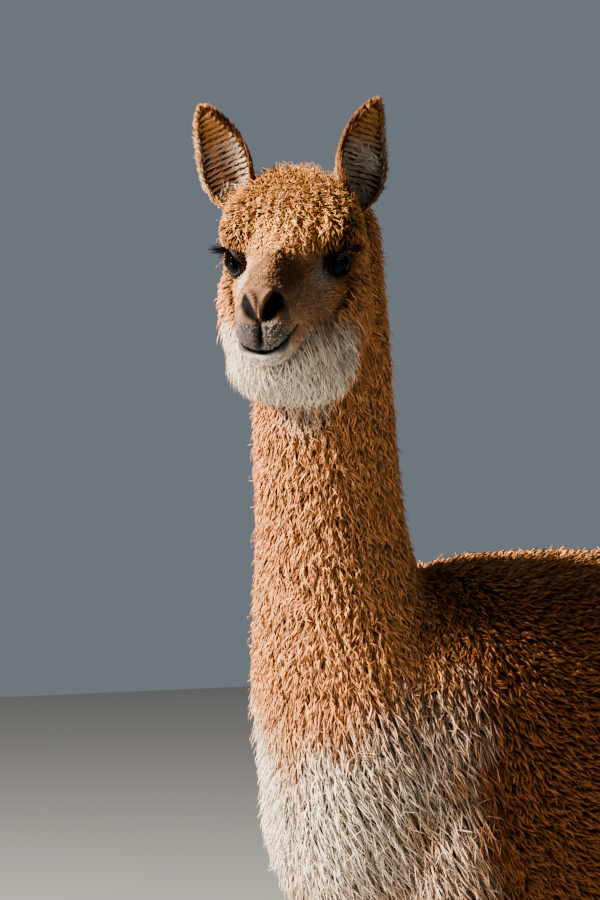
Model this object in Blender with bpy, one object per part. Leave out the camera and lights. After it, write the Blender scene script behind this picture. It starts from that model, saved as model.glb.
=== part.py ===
"""An alpaca, life size, standing square with its head up and turned to its left.

The animal faces -Y, its left side is +X, and the floor is z = 0. It is modelled whole, out to the
tips of its fleece: lofted bodies are melted together, thinned, and parted with thin cuts into head,
neck, trunk, tail and four legs. Eyes, ears and toenails are solids of their own.
All sizes are metres.
"""

import math

import bmesh
import bpy
import numpy as np
from mathutils import Euler, Matrix, Vector

# Driving dimensions
WITHERS_HEIGHT = 0.880
HEAD_POSITION = Vector((-0.002, -0.388, 1.203))  # back of the skull, on the head's long axis
HEAD_TURN = math.radians(48)  # towards the animal's left
HEAD_DROP = math.radians(16)  # nose below the level
NOSE_REACH = 0.236  # from the back of the skull to the lips
EYE_RADIUS = 0.0185
EYE_PLACE = (0.100, 0.0465, 0.010)  # along, aside and above the head's axis
EAR_LENGTH = 0.110
EAR_HALF_WIDTH = 0.029
EAR_WALL = 0.0045
LEG_SPREAD = 0.098  # each foot from the midline
TAIL_LENGTH = 0.21

VOXEL = 0.005  # grain of the melt that joins the lofts
MELT_ROUNDS = 7  # smoothing after it
GAP = 0.0004  # between solids that meet
CUT = 0.0008  # width of a parting cut
TRIANGLES = 5750  # of the whole body, before it is parted
CARE = 0.05  # how strongly the thinning follows the shares below
# How finely each region keeps its faces, from 0, coarsest, to 1.
DETAIL = {"body": 0.13, "throat": 0.17, "shank": 0.20, "skull": 0.34, "feet": 0.50, "face": 0.82}

COATS = {
    "fleece_brown": ((0.42, 0.19, 0.07), 0.95),
    "fleece_neck": ((0.55, 0.29, 0.13), 0.95),
    "eye_dark": ((0.012, 0.009, 0.008), 0.08),
    "nail_horn": ((0.07, 0.055, 0.045), 0.5),
}


def clear_scene():
    for thing in list(bpy.data.objects):
        bpy.data.objects.remove(thing)


def coat_material(name):
    """A plain Principled material in the colour that the part mostly has."""
    found = bpy.data.materials.get(name)
    if found:
        return found
    (red, green, blue), roughness = COATS[name]
    made = bpy.data.materials.new(name)
    made.use_nodes = True
    shader = made.node_tree.nodes["Principled BSDF"]
    shader.inputs["Base Color"].default_value = (red, green, blue, 1)
    shader.inputs["Roughness"].default_value = roughness
    return made


def smooth_through(keys, places):
    """Values at the places, on smooth curves through the keys. A key is (place, value, value, ...)."""
    keys = np.array(keys, float)
    at, values = keys[:, 0], keys[:, 1:]
    slopes = np.gradient(values, at, axis=0)
    left = np.clip(np.searchsorted(at, places, side="right") - 1, 0, len(at) - 2)
    span = at[left + 1] - at[left]
    t = ((places - at[left]) / span)[:, None]
    span = span[:, None]
    return (
        (2 * t**3 - 3 * t**2 + 1) * values[left]
        + (t**3 - 2 * t**2 + t) * span * slopes[left]
        + (3 * t**2 - 2 * t**3) * values[left + 1]
        + (t**3 - t**2) * span * slopes[left + 1]
    )


def oval(half_width, up, down, squareness, count):
    """Sideways and upright offsets of a ring, a superellipse whose upper and lower halves differ."""
    angle = np.linspace(0, 2 * math.pi, count, endpoint=False)
    side, rise = np.cos(angle), np.sin(angle)
    power = 2 / squareness
    across = np.sign(side) * np.abs(side) ** power * np.asarray(half_width)[..., None]
    height = np.where(rise > 0, np.asarray(up)[..., None], np.asarray(down)[..., None])
    return across, np.sign(rise) * np.abs(rise) ** power * height


def object_of(name, points, faces):
    mesh = bpy.data.meshes.new(name)
    mesh.from_pydata([tuple(p) for p in points], [], faces)
    made = bpy.data.objects.new(name, mesh)
    bpy.context.scene.collection.objects.link(made)
    return made


def closed_tube(name, rings):
    """A closed skin over rings of points, (ring, point, xyz), with a fan of faces over each end."""
    rings = np.asarray(rings, float)
    count, around = rings.shape[:2]
    points = np.concatenate([rings.reshape(-1, 3), rings[[0, -1]].mean(axis=1)])
    near, far = count * around, count * around + 1
    faces = []
    for i in range(count - 1):
        for j in range(around):
            k = (j + 1) % around
            faces.append((i * around + j, i * around + k, (i + 1) * around + k, (i + 1) * around + j))
    last = (count - 1) * around
    for j in range(around):
        k = (j + 1) % around
        faces.append((near, k, j))
        faces.append((far, last + j, last + k))
    made = object_of(name, points, faces)
    face_outwards(made)
    return made


def face_outwards(thing):
    work = bmesh.new()
    work.from_mesh(thing.data)
    bmesh.ops.recalc_face_normals(work, faces=work.faces)
    work.to_mesh(thing.data)
    work.free()


def limb(name, keys, rings=28, around=20, squareness=2.0):
    """A tube down a limb. A key is (height, x, y, half width, reach forwards, reach backwards)."""
    heights = np.linspace(keys[0][0], keys[-1][0], rings)
    rising = sorted(keys)
    x, y, half_width, ahead, behind = smooth_through(rising, heights).T
    across, along = oval(half_width, ahead, behind, squareness, around)
    level = np.broadcast_to(heights[:, None], across.shape)
    return closed_tube(name, np.stack([x[:, None] + across, y[:, None] - along, level], axis=-1))


# Trunk: level back, deep chest, belly that rises to the flank, round rump.
# A key is (y, top of the back, underside, half width).
TRUNK_KEYS = [
    (-0.420, 0.700, 0.610, 0.018),
    (-0.404, 0.752, 0.545, 0.064),
    (-0.360, 0.804, 0.484, 0.106),
    (-0.300, 0.842, 0.456, 0.137),
    (-0.220, WITHERS_HEIGHT - 0.010, 0.444, 0.161),
    (-0.120, WITHERS_HEIGHT, 0.438, 0.177),
    (0.000, WITHERS_HEIGHT - 0.002, 0.440, 0.184),
    (0.120, WITHERS_HEIGHT - 0.010, 0.452, 0.184),
    (0.230, WITHERS_HEIGHT - 0.010, 0.478, 0.177),
    (0.310, WITHERS_HEIGHT - 0.020, 0.504, 0.166),
    (0.380, 0.828, 0.540, 0.145),
    (0.425, 0.784, 0.585, 0.110),
    (0.445, 0.722, 0.642, 0.040),
]


def trunk():
    y = np.linspace(TRUNK_KEYS[0][0], TRUNK_KEYS[-1][0], 56)
    top, bottom, half_width = smooth_through(TRUNK_KEYS, y).T
    middle = bottom + 0.52 * (top - bottom)
    across, upright = oval(half_width, top - middle, middle - bottom, 2.25, 36)
    along = np.broadcast_to(y[:, None], across.shape)
    return closed_tube("trunk_form", np.stack([across, along, middle[:, None] + upright], axis=-1))


# Neck: nearly upright, oval, widening into the breast and the withers.
# A key is (height, x, y, half width, reach forwards, reach backwards).
NECK_KEYS = [
    (0.560, 0.0, -0.270, 0.128, 0.116, 0.170),
    (0.660, 0.0, -0.302, 0.130, 0.119, 0.180),
    (0.740, 0.0, -0.328, 0.113, 0.107, 0.150),
    (0.820, 0.0, -0.344, 0.087, 0.096, 0.102),
    (0.900, 0.0, -0.353, 0.073, 0.087, 0.082),
    (1.000, 0.0, -0.360, 0.068, 0.083, 0.075),
    (1.100, 0.0, -0.366, 0.066, 0.078, 0.072),
    (1.180, 0.0, -0.370, 0.063, 0.070, 0.070),
    (1.240, 0.0, -0.372, 0.058, 0.060, 0.062),
    (1.275, 0.002, -0.376, 0.034, 0.036, 0.036),
]

# Forelegs and hind legs, each for the left side, where x is positive.
FORE_KEYS = [
    (0.640, -0.008, -0.230, 0.060, 0.090, 0.100),
    (0.560, 0.002, -0.240, 0.066, 0.086, 0.094),
    (0.480, 0.002, -0.250, 0.060, 0.066, 0.076),
    (0.400, 0.000, -0.256, 0.049, 0.052, 0.058),
    (0.330, 0.000, -0.260, 0.041, 0.046, 0.044),
    (0.285, 0.000, -0.262, 0.040, 0.047, 0.041),
    (0.235, 0.000, -0.260, 0.034, 0.037, 0.036),
    (0.150, 0.000, -0.260, 0.030, 0.032, 0.033),
    (0.085, 0.000, -0.263, 0.034, 0.037, 0.037),
    (0.050, 0.000, -0.274, 0.034, 0.040, 0.036),
    (0.020, 0.000, -0.286, 0.030, 0.034, 0.034),
]
HIND_KEYS = [
    (0.700, -0.010, 0.290, 0.070, 0.110, 0.130),
    (0.600, 0.000, 0.300, 0.078, 0.120, 0.122),
    (0.520, 0.004, 0.306, 0.072, 0.102, 0.104),
    (0.450, 0.003, 0.318, 0.058, 0.080, 0.080),
    (0.390, 0.000, 0.340, 0.046, 0.060, 0.058),
    (0.330, 0.000, 0.366, 0.038, 0.046, 0.044),
    (0.285, 0.000, 0.378, 0.036, 0.041, 0.044),
    (0.235, 0.000, 0.373, 0.032, 0.036, 0.037),
    (0.150, 0.000, 0.362, 0.030, 0.032, 0.033),
    (0.085, 0.000, 0.354, 0.034, 0.037, 0.037),
    (0.050, 0.000, 0.342, 0.034, 0.040, 0.036),
    (0.020, 0.000, 0.330, 0.030, 0.034, 0.034),
]
# Each leg's keys, its side, and how far its foot stands ahead of (-) or behind the square stance.
LEGS = {
    "leg_fore_left": (FORE_KEYS, 1, -0.018),
    "leg_fore_right": (FORE_KEYS, -1, 0.016),
    "leg_hind_left": (HIND_KEYS, 1, 0.022),
    "leg_hind_right": (HIND_KEYS, -1, -0.020),
}
STRIDE_FROM = 0.62  # the leg swings from this height
TOE_LENGTH, TOE_HALF_WIDTH, TOE_HEIGHT = 0.048, 0.0205, 0.040
TOE_APART = 0.0185  # each toe from the middle of the foot


def stride_at(height, stride):
    return stride * min(max((STRIDE_FROM - height) / STRIDE_FROM, 0), 1)


def leg(name):
    keys, side, stride = LEGS[name]
    placed = []
    for height, x, y, *reach in keys:
        placed.append((height, side * (LEG_SPREAD + x), y + stride_at(height, stride), *reach))
    return limb(name + "_form", placed)


def foot_centre(name):
    keys, side, stride = LEGS[name]
    return Vector((side * LEG_SPREAD, keys[-1][2] + stride, 0))


def blob(name, centre, radii, turn=0.0):
    """An ellipsoid, for toes."""
    work = bmesh.new()
    bmesh.ops.create_uvsphere(work, u_segments=20, v_segments=14, radius=1)
    shape = Matrix.Translation(centre) @ Matrix.Rotation(turn, 4, "Z") @ Matrix.Diagonal((*radii, 1))
    bmesh.ops.transform(work, matrix=shape, verts=work.verts)
    mesh = bpy.data.meshes.new(name)
    work.to_mesh(mesh)
    work.free()
    made = bpy.data.objects.new(name, mesh)
    bpy.context.scene.collection.objects.link(made)
    return made


def toes(name):
    """The two padded toes of a foot, a little splayed. Their soles are cut flat at the floor later."""
    centre = foot_centre(name)
    made = []
    for inner_outer in (-1, 1):
        at = centre + Vector((inner_outer * TOE_APART, -0.020, 0.010))
        radii = (TOE_HALF_WIDTH, TOE_LENGTH, TOE_HEIGHT)
        made.append(blob(f"{name}_toe_form", at, radii, turn=inner_outer * math.radians(5)))
    return made


TAIL_ROOT = Vector((0.0, 0.420, 0.806))
# A key is (share of the length, back from the root, down from the root, half width, half depth).
TAIL_KEYS = [
    (0.00, -0.040, 0.00, 0.026, 0.030),
    (0.18, 0.010, 0.14, 0.036, 0.036),
    (0.35, 0.034, 0.32, 0.044, 0.038),
    (0.60, 0.044, 0.60, 0.045, 0.036),
    (0.85, 0.046, 0.86, 0.036, 0.028),
    (1.00, 0.044, 1.00, 0.014, 0.012),
]


def tail():
    share = np.linspace(0, 1, 20)
    back, down, half_width, half_depth = smooth_through(TAIL_KEYS, share).T
    across, through = oval(half_width, half_depth, half_depth, 2.0, 18)
    y = TAIL_ROOT.y + back[:, None] + through
    z = np.broadcast_to((TAIL_ROOT.z - down * TAIL_LENGTH)[:, None], y.shape)
    return closed_tube("tail_form", np.stack([across, y, z], axis=-1))


# Head, on its own axis: `along` runs from the back of the skull to the lips.
# A key is (along, top, underside, half width, squareness).
HEAD_KEYS = [
    (0.000, 0.062, -0.085, 0.050, 2.0),
    (0.012, 0.080, -0.112, 0.064, 2.1),
    (0.030, 0.094, -0.128, 0.072, 2.25),
    (0.055, 0.101, -0.136, 0.077, 2.35),
    (0.080, 0.094, -0.140, 0.075, 2.3),
    (0.100, 0.073, -0.139, 0.070, 2.2),
    (0.120, 0.048, -0.132, 0.061, 2.15),
    (0.145, 0.034, -0.116, 0.050, 2.2),
    (0.170, 0.027, -0.096, 0.043, 2.25),
    (0.195, 0.022, -0.080, 0.0385, 2.3),
    (0.214, 0.018, -0.071, 0.0360, 2.35),
    (0.228, 0.010, -0.061, 0.0305, 2.3),
    (NOSE_REACH, -0.008, -0.034, 0.017, 2.0),
]
# Swellings and hollows of the head. A row is (along, aside, above, reach along, aside and above, height);
# it is mirrored where aside isn't 0, and a hollow has a height below 0.
HEAD_FORMS = [
    (0.080, 0.056, 0.048, 0.030, 0.022, 0.022, 0.012),  # brow wool over the eye
    (0.118, 0.052, 0.008, 0.014, 0.014, 0.016, -0.006),  # hollow ahead of the eye
    (0.098, 0.046, 0.010, 0.014, 0.020, 0.013, -0.010),  # eye socket
    (0.085, 0.066, -0.045, 0.036, 0.030, 0.032, 0.008),  # cheek wool
    (0.110, 0.044, -0.110, 0.045, 0.036, 0.036, 0.015),  # beard
    (0.150, 0.036, -0.012, 0.024, 0.012, 0.018, -0.004),  # hollow side of the muzzle
    (0.226, 0.016, 0.006, 0.009, 0.009, 0.009, 0.0065),  # nostril wing
    (0.234, 0.0130, -0.002, 0.007, 0.0050, 0.008, -0.0070),  # nostril
    (0.228, 0.0165, -0.032, 0.011, 0.012, 0.014, 0.0075),  # half of the split lip
    (0.238, 0.000, -0.028, 0.010, 0.0040, 0.018, -0.0070),  # groove between the halves
    (0.222, 0.000, -0.064, 0.014, 0.018, 0.009, 0.0045),  # lower lip and chin
]
MOUTH_HEIGHT, MOUTH_DEPTH, MOUTH_WIDTH, MOUTH_BACK = -0.053, 0.0045, 0.0035, 0.192


def smooth_step(x):
    x = np.clip(x, 0, 1)
    return x * x * (3 - 2 * x)


def head_forms(points, outwards):
    """The swellings and hollows, each a bell-shaped push along the surface's own normal."""
    push = np.zeros(len(points))
    for along, aside, above, *reach, height in HEAD_FORMS:
        for side in {1, -1 if aside else 1}:
            away = (points - (along, side * aside, above)) / reach
            push += height * np.exp(-(away**2).sum(axis=1))
    front = smooth_step((points[:, 0] - MOUTH_BACK) / 0.02)
    line = MOUTH_HEIGHT + 6.0 * points[:, 1] ** 2
    push -= MOUTH_DEPTH * front * np.exp(-(((points[:, 2] - line) / MOUTH_WIDTH) ** 2))
    return points + outwards * push[:, None]


def head():
    """The head's rings, packed closer towards the lips, then its forms, then its place on the neck."""
    reach = HEAD_KEYS[-1][0]
    along = reach * np.sin(np.linspace(0, math.pi / 2, 70))
    top, bottom, half_width, squareness = smooth_through(HEAD_KEYS, along).T
    middle = bottom + 0.50 * (top - bottom)
    across, upright = oval(half_width, top - middle, middle - bottom, squareness[:, None], 72)
    ahead = np.broadcast_to(along[:, None], across.shape)
    made = closed_tube("head_form", np.stack([ahead, across, middle[:, None] + upright], axis=-1))
    normals = np.array([v.normal for v in made.data.vertices])
    points = np.array([v.co for v in made.data.vertices])
    made.data.vertices.foreach_set("co", head_forms(points, normals).ravel())
    made.data.transform(head_frame())
    return made


def head_frame():
    """Head axes to the world: along goes where the animal looks, aside to its left, above up."""
    looks = Matrix.Rotation(HEAD_TURN - math.pi / 2, 4, "Z") @ Matrix.Rotation(HEAD_DROP, 4, "Y")
    return Matrix.Translation(HEAD_POSITION) @ looks


# Ears: a leaf, rolled into a tube at its root and open above.
EAR_ROOT = (0.038, 0.055, 0.056)  # on the head: along, aside, above
EAR_BACK = math.radians(2)
# Each ear's side, its lean outwards, and how far its opening turns outwards from straight ahead.
EARS = {
    "ear_left": (1, math.radians(20), math.radians(28)),
    "ear_right": (-1, math.radians(21), math.radians(10)),
}
# A key is (share of the length, share of the full half width, half angle of the roll).
EAR_KEYS = [
    (0.00, 0.62, 2.30),
    (0.15, 0.84, 1.95),
    (0.35, 1.00, 1.50),
    (0.60, 0.86, 1.20),
    (0.82, 0.52, 0.95),
    (0.95, 0.22, 0.70),
    (1.00, 0.06, 0.50),
]


def ear(name):
    """One ear as a sheet on a grid of length and roll, given its wall by Solidify."""
    side, lean, opening = EARS[name]
    rows, columns = 11, 7
    share = np.linspace(0, 1, rows)
    width, roll = smooth_through(EAR_KEYS, share).T
    across = np.linspace(-1, 1, columns)
    angle = across[None, :] * roll[:, None]
    radius = EAR_HALF_WIDTH * (width / np.sin(np.minimum(roll, math.pi / 2)))[:, None]
    sideways = radius * np.sin(angle)
    behind = radius * (1 - np.cos(angle)) - radius * 0.5
    upwards = np.broadcast_to((share * EAR_LENGTH)[:, None], angle.shape)
    curl = 0.010 * smooth_step((share - 0.55) / 0.45)[:, None]
    points = np.stack([behind + curl, sideways, upwards], axis=-1).reshape(-1, 3)
    faces = []
    for i in range(rows - 1):
        for j in range(columns - 1):
            a = i * columns + j
            faces.append((a, a + 1, a + columns + 1, a + columns))
    made = object_of(name, points, faces)
    wall = made.modifiers.new("wall", "SOLIDIFY")
    wall.thickness = EAR_WALL
    wall.offset = 0
    along, aside, above = EAR_ROOT
    stand = Euler((-side * lean, -EAR_BACK, side * opening)).to_matrix().to_4x4()
    place = head_frame() @ Matrix.Translation((along, side * aside, above)) @ stand
    if side < 0:
        place = place @ Matrix.Diagonal((1, -1, 1, 1))
    made.data.transform(place)
    face_outwards(made)
    settle(made)
    face_outwards(made)
    return made


def eye_centre(side):
    along, aside, above = EYE_PLACE
    return head_frame() @ Vector((along, side * aside, above))


def ball(name, centre, radius, segments=14, rings=10):
    work = bmesh.new()
    bmesh.ops.create_uvsphere(work, u_segments=segments, v_segments=rings, radius=radius)
    bmesh.ops.translate(work, vec=centre, verts=work.verts)
    mesh = bpy.data.meshes.new(name)
    work.to_mesh(mesh)
    work.free()
    made = bpy.data.objects.new(name, mesh)
    bpy.context.scene.collection.objects.link(made)
    return made


NAIL_LENGTH, NAIL_HALF_WIDTH, NAIL_HEIGHT = 0.026, 0.0085, 0.016


def nail(name, toe_tip):
    """A toenail: a curved wedge that sits over the front of a toe and clears the floor."""
    share = np.linspace(0, 1, 5)
    half_width = NAIL_HALF_WIDTH * np.sqrt(1 - 0.93 * share**2)
    height = NAIL_HEIGHT * (1 - 0.72 * share**1.5)
    across, upright = oval(half_width, height / 2, height / 2, 2.2, 8)
    y = toe_tip.y + 0.012 - NAIL_LENGTH * share
    z = toe_tip.z + 0.010 - 0.011 * share
    x = toe_tip.x + across
    y = np.broadcast_to(y[:, None], across.shape)
    return closed_tube(name, np.stack([x, y, z[:, None] + upright], axis=-1))


def settle(thing):
    """The object's modifiers, applied."""
    bpy.context.view_layer.update()
    graph = bpy.context.evaluated_depsgraph_get()
    mesh = bpy.data.meshes.new_from_object(thing.evaluated_get(graph))
    thing.modifiers.clear()
    thing.data = mesh
    return thing


def joined(name, things):
    """Several objects' meshes in one object."""
    work = bmesh.new()
    for thing in things:
        work.from_mesh(thing.data)
        bpy.data.objects.remove(thing)
    mesh = bpy.data.meshes.new(name)
    work.to_mesh(mesh)
    work.free()
    made = bpy.data.objects.new(name, mesh)
    bpy.context.scene.collection.objects.link(made)
    return made


def combine(thing, other, operation="DIFFERENCE"):
    """thing, changed by a Boolean with the other."""
    change = thing.modifiers.new(operation.lower(), "BOOLEAN")
    change.operation = operation
    change.object = other
    return settle(thing)


def melted(forms):
    """The lofts as one smooth closed skin of small even faces."""
    whole = joined("alpaca", forms)
    melt = whole.modifiers.new("melt", "REMESH")
    melt.mode = "VOXEL"
    melt.voxel_size = VOXEL
    settle(whole)
    soften = whole.modifiers.new("soften", "SMOOTH")
    soften.factor = 0.5
    soften.iterations = MELT_ROUNDS
    return settle(whole)


def thinned(whole):
    """The skin with fewer triangles, most of them kept on the head and the feet."""
    count = len(whole.data.vertices)
    points = np.empty(count * 3)
    whole.data.vertices.foreach_get("co", points)
    points = points.reshape(-1, 3)
    to_head = np.array(head_frame().inverted())
    along = points @ to_head[0, :3] + to_head[0, 3]
    height = points[:, 2]
    face = DETAIL["face"] * smooth_step((along - 0.07) / 0.09) * (height > 1.0)
    skull = DETAIL["skull"] * smooth_step((height - 1.06) / 0.08)
    throat = DETAIL["throat"] * smooth_step((height - 0.80) / 0.10)
    shank = DETAIL["shank"] * smooth_step((0.48 - height) / 0.10)
    feet = DETAIL["feet"] * smooth_step((0.11 - height) / 0.05)
    care = np.maximum.reduce([face, skull, throat, shank, feet, np.full(count, DETAIL["body"])])
    group = whole.vertex_groups.new(name="spare")
    levels = 20
    for level in range(levels + 1):  # a weight of 1 marks what can go first
        members = np.flatnonzero(np.rint(care * levels) == level)
        group.add([int(i) for i in members], 1 - level / levels, "REPLACE")
    thin = whole.modifiers.new("thin", "DECIMATE")
    thin.ratio = TRIANGLES / (2 * len(whole.data.polygons))
    thin.vertex_group = "spare"
    thin.vertex_group_factor = CARE
    thin.use_collapse_triangulate = True
    return settle(whole)


def slab(centre, facing, wide, long):
    """A thin board that parts the body. Its broad faces look along `facing`; `wide` runs across."""
    work = bmesh.new()
    bmesh.ops.create_cube(work, size=1)
    up = Vector(facing).normalized()
    ahead = up.cross(Vector((1, 0, 0))).normalized()
    turn = Matrix((ahead.cross(up), ahead, up)).transposed().to_4x4()
    shape = Matrix.Translation(Vector(centre)) @ turn @ Matrix.Diagonal((wide, long, CUT, 1))
    bmesh.ops.transform(work, matrix=shape, verts=work.verts)
    mesh = bpy.data.meshes.new("cut")
    work.to_mesh(mesh)
    work.free()
    made = bpy.data.objects.new("cut", mesh)
    bpy.context.scene.collection.objects.link(made)
    made.hide_render = True
    made.display_type = "WIRE"
    return made


FLOOR_DEPTH = 0.2


def floor_block():
    work = bmesh.new()
    bmesh.ops.create_cube(work, size=1)
    shape = Matrix.Translation((0, 0, -FLOOR_DEPTH / 2)) @ Matrix.Diagonal((2, 3, FLOOR_DEPTH, 1))
    bmesh.ops.transform(work, matrix=shape, verts=work.verts)
    mesh = bpy.data.meshes.new("floor")
    work.to_mesh(mesh)
    work.free()
    made = bpy.data.objects.new("floor", mesh)
    bpy.context.scene.collection.objects.link(made)
    return made


# Parting cuts: centre, the way the cut faces, and its size across and along.
NECK_CUT = ((0, -0.335, 0.745), (0, -0.78, 0.62), 0.46, 0.40)
TAIL_CUT = ((0, 0.446, 0.710), (0, 1, 0.10), 0.14, 0.32)
HEAD_CUT_PLACE, HEAD_CUT_LEAN = (0.010, 0, -0.078), math.radians(50)  # on the head's axes
# A leg's cut: height over the foot, the way it faces (outwards, back, up) and its length along the animal.
LEG_CUTS = {"fore": (0.462, (-0.42, 0.06, 0.90), 0.34), "hind": (0.500, (-0.38, -0.44, 0.82), 0.46)}
LEG_CUT_EDGES = (0.002, 0.230)  # from just off the midline to clear of the flank


def parting_cuts():
    cuts = [slab(*NECK_CUT), slab(*TAIL_CUT)]
    throat = head_frame() @ Vector(HEAD_CUT_PLACE)
    facing = head_frame().to_3x3() @ Vector((math.cos(HEAD_CUT_LEAN), 0, math.sin(HEAD_CUT_LEAN)))
    cuts.append(slab(throat, facing, 0.30, 0.40))
    inner, outer = LEG_CUT_EDGES
    for name, (keys, side, stride) in LEGS.items():
        height, (out, back, up), long = LEG_CUTS["fore" if "fore" in name else "hind"]
        y = smooth_through(sorted(keys), np.array([height]))[0, 1]
        middle = (inner + outer) / 2
        rise = (LEG_SPREAD - middle) * out / up
        centre = (side * middle, y + stride_at(height, stride), height + rise)
        wide = (outer - inner) / math.cos(math.atan2(out, up))
        cuts.append(slab(centre, (side * out, back, up), wide, long))
    return cuts


def loose_pieces(thing):
    """The separate closed bodies of a mesh, as lists of vertex indices."""
    work = bmesh.new()
    work.from_mesh(thing.data)
    left = set(work.verts)
    groups = []
    while left:
        edge = [left.pop()]
        group = list(edge)
        while edge:
            near = {e.other_vert(v) for v in edge for e in v.link_edges} & left
            left -= near
            group += near
            edge = list(near)
        groups.append(sorted(v.index for v in group))
    work.free()
    return groups


def piece_of(thing, indices, name):
    work = bmesh.new()
    work.from_mesh(thing.data)
    keep = set(indices)
    bmesh.ops.delete(work, geom=[v for v in work.verts if v.index not in keep], context="VERTS")
    mesh = bpy.data.meshes.new(name)
    work.to_mesh(mesh)
    work.free()
    made = bpy.data.objects.new(name, mesh)
    bpy.context.scene.collection.objects.link(made)
    return made


def parted(whole):
    """The body in its named parts: each part is the largest loose piece centred nearest its mark."""
    for cut in parting_cuts():
        combine(whole, cut)
        bpy.data.objects.remove(cut)
    marks = {
        "trunk": Vector((0, 0.03, 0.65)),
        "neck": Vector((0, -0.355, 0.95)),
        "head": head_frame() @ Vector((0.09, 0, 0.01)),
        "tail": TAIL_ROOT + Vector((0, 0.05, -0.10)),
    }
    for name in LEGS:
        marks[name] = foot_centre(name) + Vector((0, 0, 0.22))
    pieces = {}
    for group in loose_pieces(whole):
        corners = np.array([whole.data.vertices[i].co for i in group])
        middle = Vector((corners.min(axis=0) + corners.max(axis=0)) / 2)
        name = min(marks, key=lambda mark: (marks[mark] - middle).length)
        if len(group) > len(pieces.get(name, [])):
            pieces[name] = group
    made = {name: piece_of(whole, group, name) for name, group in pieces.items()}
    bpy.data.objects.remove(whole)
    return made


def grown(thing, amount):
    """A copy with its skin pushed out by the amount, to cut a neighbour with a gap."""
    made = bpy.data.objects.new("grown", thing.data.copy())
    bpy.context.scene.collection.objects.link(made)
    push = made.modifiers.new("push", "DISPLACE")
    push.strength = amount
    push.mid_level = 0
    return settle(made)


def seat(part, guest, gap=GAP):
    """Cuts from the part the room that the guest takes, with a gap all round."""
    room = grown(guest, gap)
    combine(part, room)
    bpy.data.objects.remove(room)


def largest_only(thing):
    """Drops crumbs that a cut left loose."""
    groups = loose_pieces(thing)
    kept = piece_of(thing, max(groups, key=len), thing.name + "_kept")
    thing.data = kept.data
    bpy.data.objects.remove(kept)
    return thing


def finish(thing, coat):
    thing.data.materials.clear()
    thing.data.materials.append(coat_material(coat))
    thing.data.shade_smooth()


def centre_all():
    """Moves every part level, until the middle of the whole animal's box is over the origin."""
    shown = [thing for thing in bpy.data.objects if not thing.hide_render]
    corners = np.array([v.co for thing in shown for v in thing.data.vertices])
    low, high = corners.min(axis=0), corners.max(axis=0)
    move = Matrix.Translation((-(low[0] + high[0]) / 2, -(low[1] + high[1]) / 2, 0))
    for thing in shown:
        thing.data.transform(move)


def main():
    clear_scene()
    forms = [trunk(), limb("neck_form", NECK_KEYS, rings=40, around=32), tail(), head()]
    for name in LEGS:
        forms.append(leg(name))
        forms += toes(name)
    whole = thinned(melted(forms))
    floor = floor_block()
    combine(whole, floor)
    bpy.data.objects.remove(floor)
    parts = parted(whole)
    for name in LEGS:
        centre = foot_centre(name)
        for number, inner_outer in enumerate((-1, 1)):
            tip = centre + Vector((inner_outer * (TOE_APART + 0.004), -0.020 - TOE_LENGTH, 0.010))
            claw = nail(name.replace("leg", "nail") + f"_{number + 1}", tip)
            seat(parts[name], claw)
            finish(claw, "nail_horn")
        largest_only(parts[name])
    for side, word in ((1, "left"), (-1, "right")):
        eye = ball("eye_" + word, eye_centre(side), EYE_RADIUS)
        seat(parts["head"], eye)
        finish(eye, "eye_dark")
        this_ear = ear("ear_" + word)
        seat(this_ear, parts["head"])
        largest_only(this_ear)
        finish(this_ear, "fleece_brown")
    largest_only(parts["head"])
    for name, part in parts.items():
        finish(part, "fleece_neck" if name in ("neck", "head") else "fleece_brown")
    centre_all()


main()
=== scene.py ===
import math

import bpy
import numpy as np
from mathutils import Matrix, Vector


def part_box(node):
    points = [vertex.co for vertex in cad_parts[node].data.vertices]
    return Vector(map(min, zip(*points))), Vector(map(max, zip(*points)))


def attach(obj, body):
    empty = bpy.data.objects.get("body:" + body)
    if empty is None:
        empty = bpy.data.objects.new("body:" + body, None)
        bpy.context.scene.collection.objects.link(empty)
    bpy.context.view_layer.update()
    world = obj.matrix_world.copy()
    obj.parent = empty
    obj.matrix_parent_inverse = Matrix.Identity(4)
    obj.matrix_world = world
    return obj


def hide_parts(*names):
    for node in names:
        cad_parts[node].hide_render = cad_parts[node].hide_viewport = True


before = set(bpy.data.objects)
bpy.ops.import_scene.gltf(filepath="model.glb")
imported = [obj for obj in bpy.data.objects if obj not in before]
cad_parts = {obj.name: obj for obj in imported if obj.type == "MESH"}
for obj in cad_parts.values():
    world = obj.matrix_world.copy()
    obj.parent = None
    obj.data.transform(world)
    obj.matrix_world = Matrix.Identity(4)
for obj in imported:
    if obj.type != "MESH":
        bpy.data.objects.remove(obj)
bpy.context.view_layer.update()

# ---- Camera ---------------------------------------------------------------------------------------
# It stands before the alpaca's left shoulder at the height of its throat, far enough off that the
# neck keeps its true proportions, and frames the animal from the ears down to the chest.
left_eye, right_eye = (
    sum((Vector(corner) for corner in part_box("eye_" + side)), Vector()) / 2 for side in ("left", "right")
)
between_eyes = (left_eye + right_eye) / 2
VIEW_TURN = math.radians(58)  # of the camera round the animal, from straight ahead towards its left
VIEW_DISTANCE, VIEW_HEIGHT = 4.5, 1.06
VIEW_TALL = 0.945  # metres from the top of the frame to its foot, at the aim
AIM_RIGHT, AIM_BEYOND, AIM_BELOW = 0.0122, 0.1104, 0.195  # of the aim from the middle between the eyes
SENSOR_WIDTH = 36
view_right = Vector((math.cos(VIEW_TURN), math.sin(VIEW_TURN), 0))
view_back = Vector((math.sin(VIEW_TURN), -math.cos(VIEW_TURN), 0))
aim = between_eyes + AIM_RIGHT * view_right - AIM_BEYOND * view_back - Vector((0, 0, AIM_BELOW))
camera = bpy.data.objects.new("camera", bpy.data.cameras.new("camera"))
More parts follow.
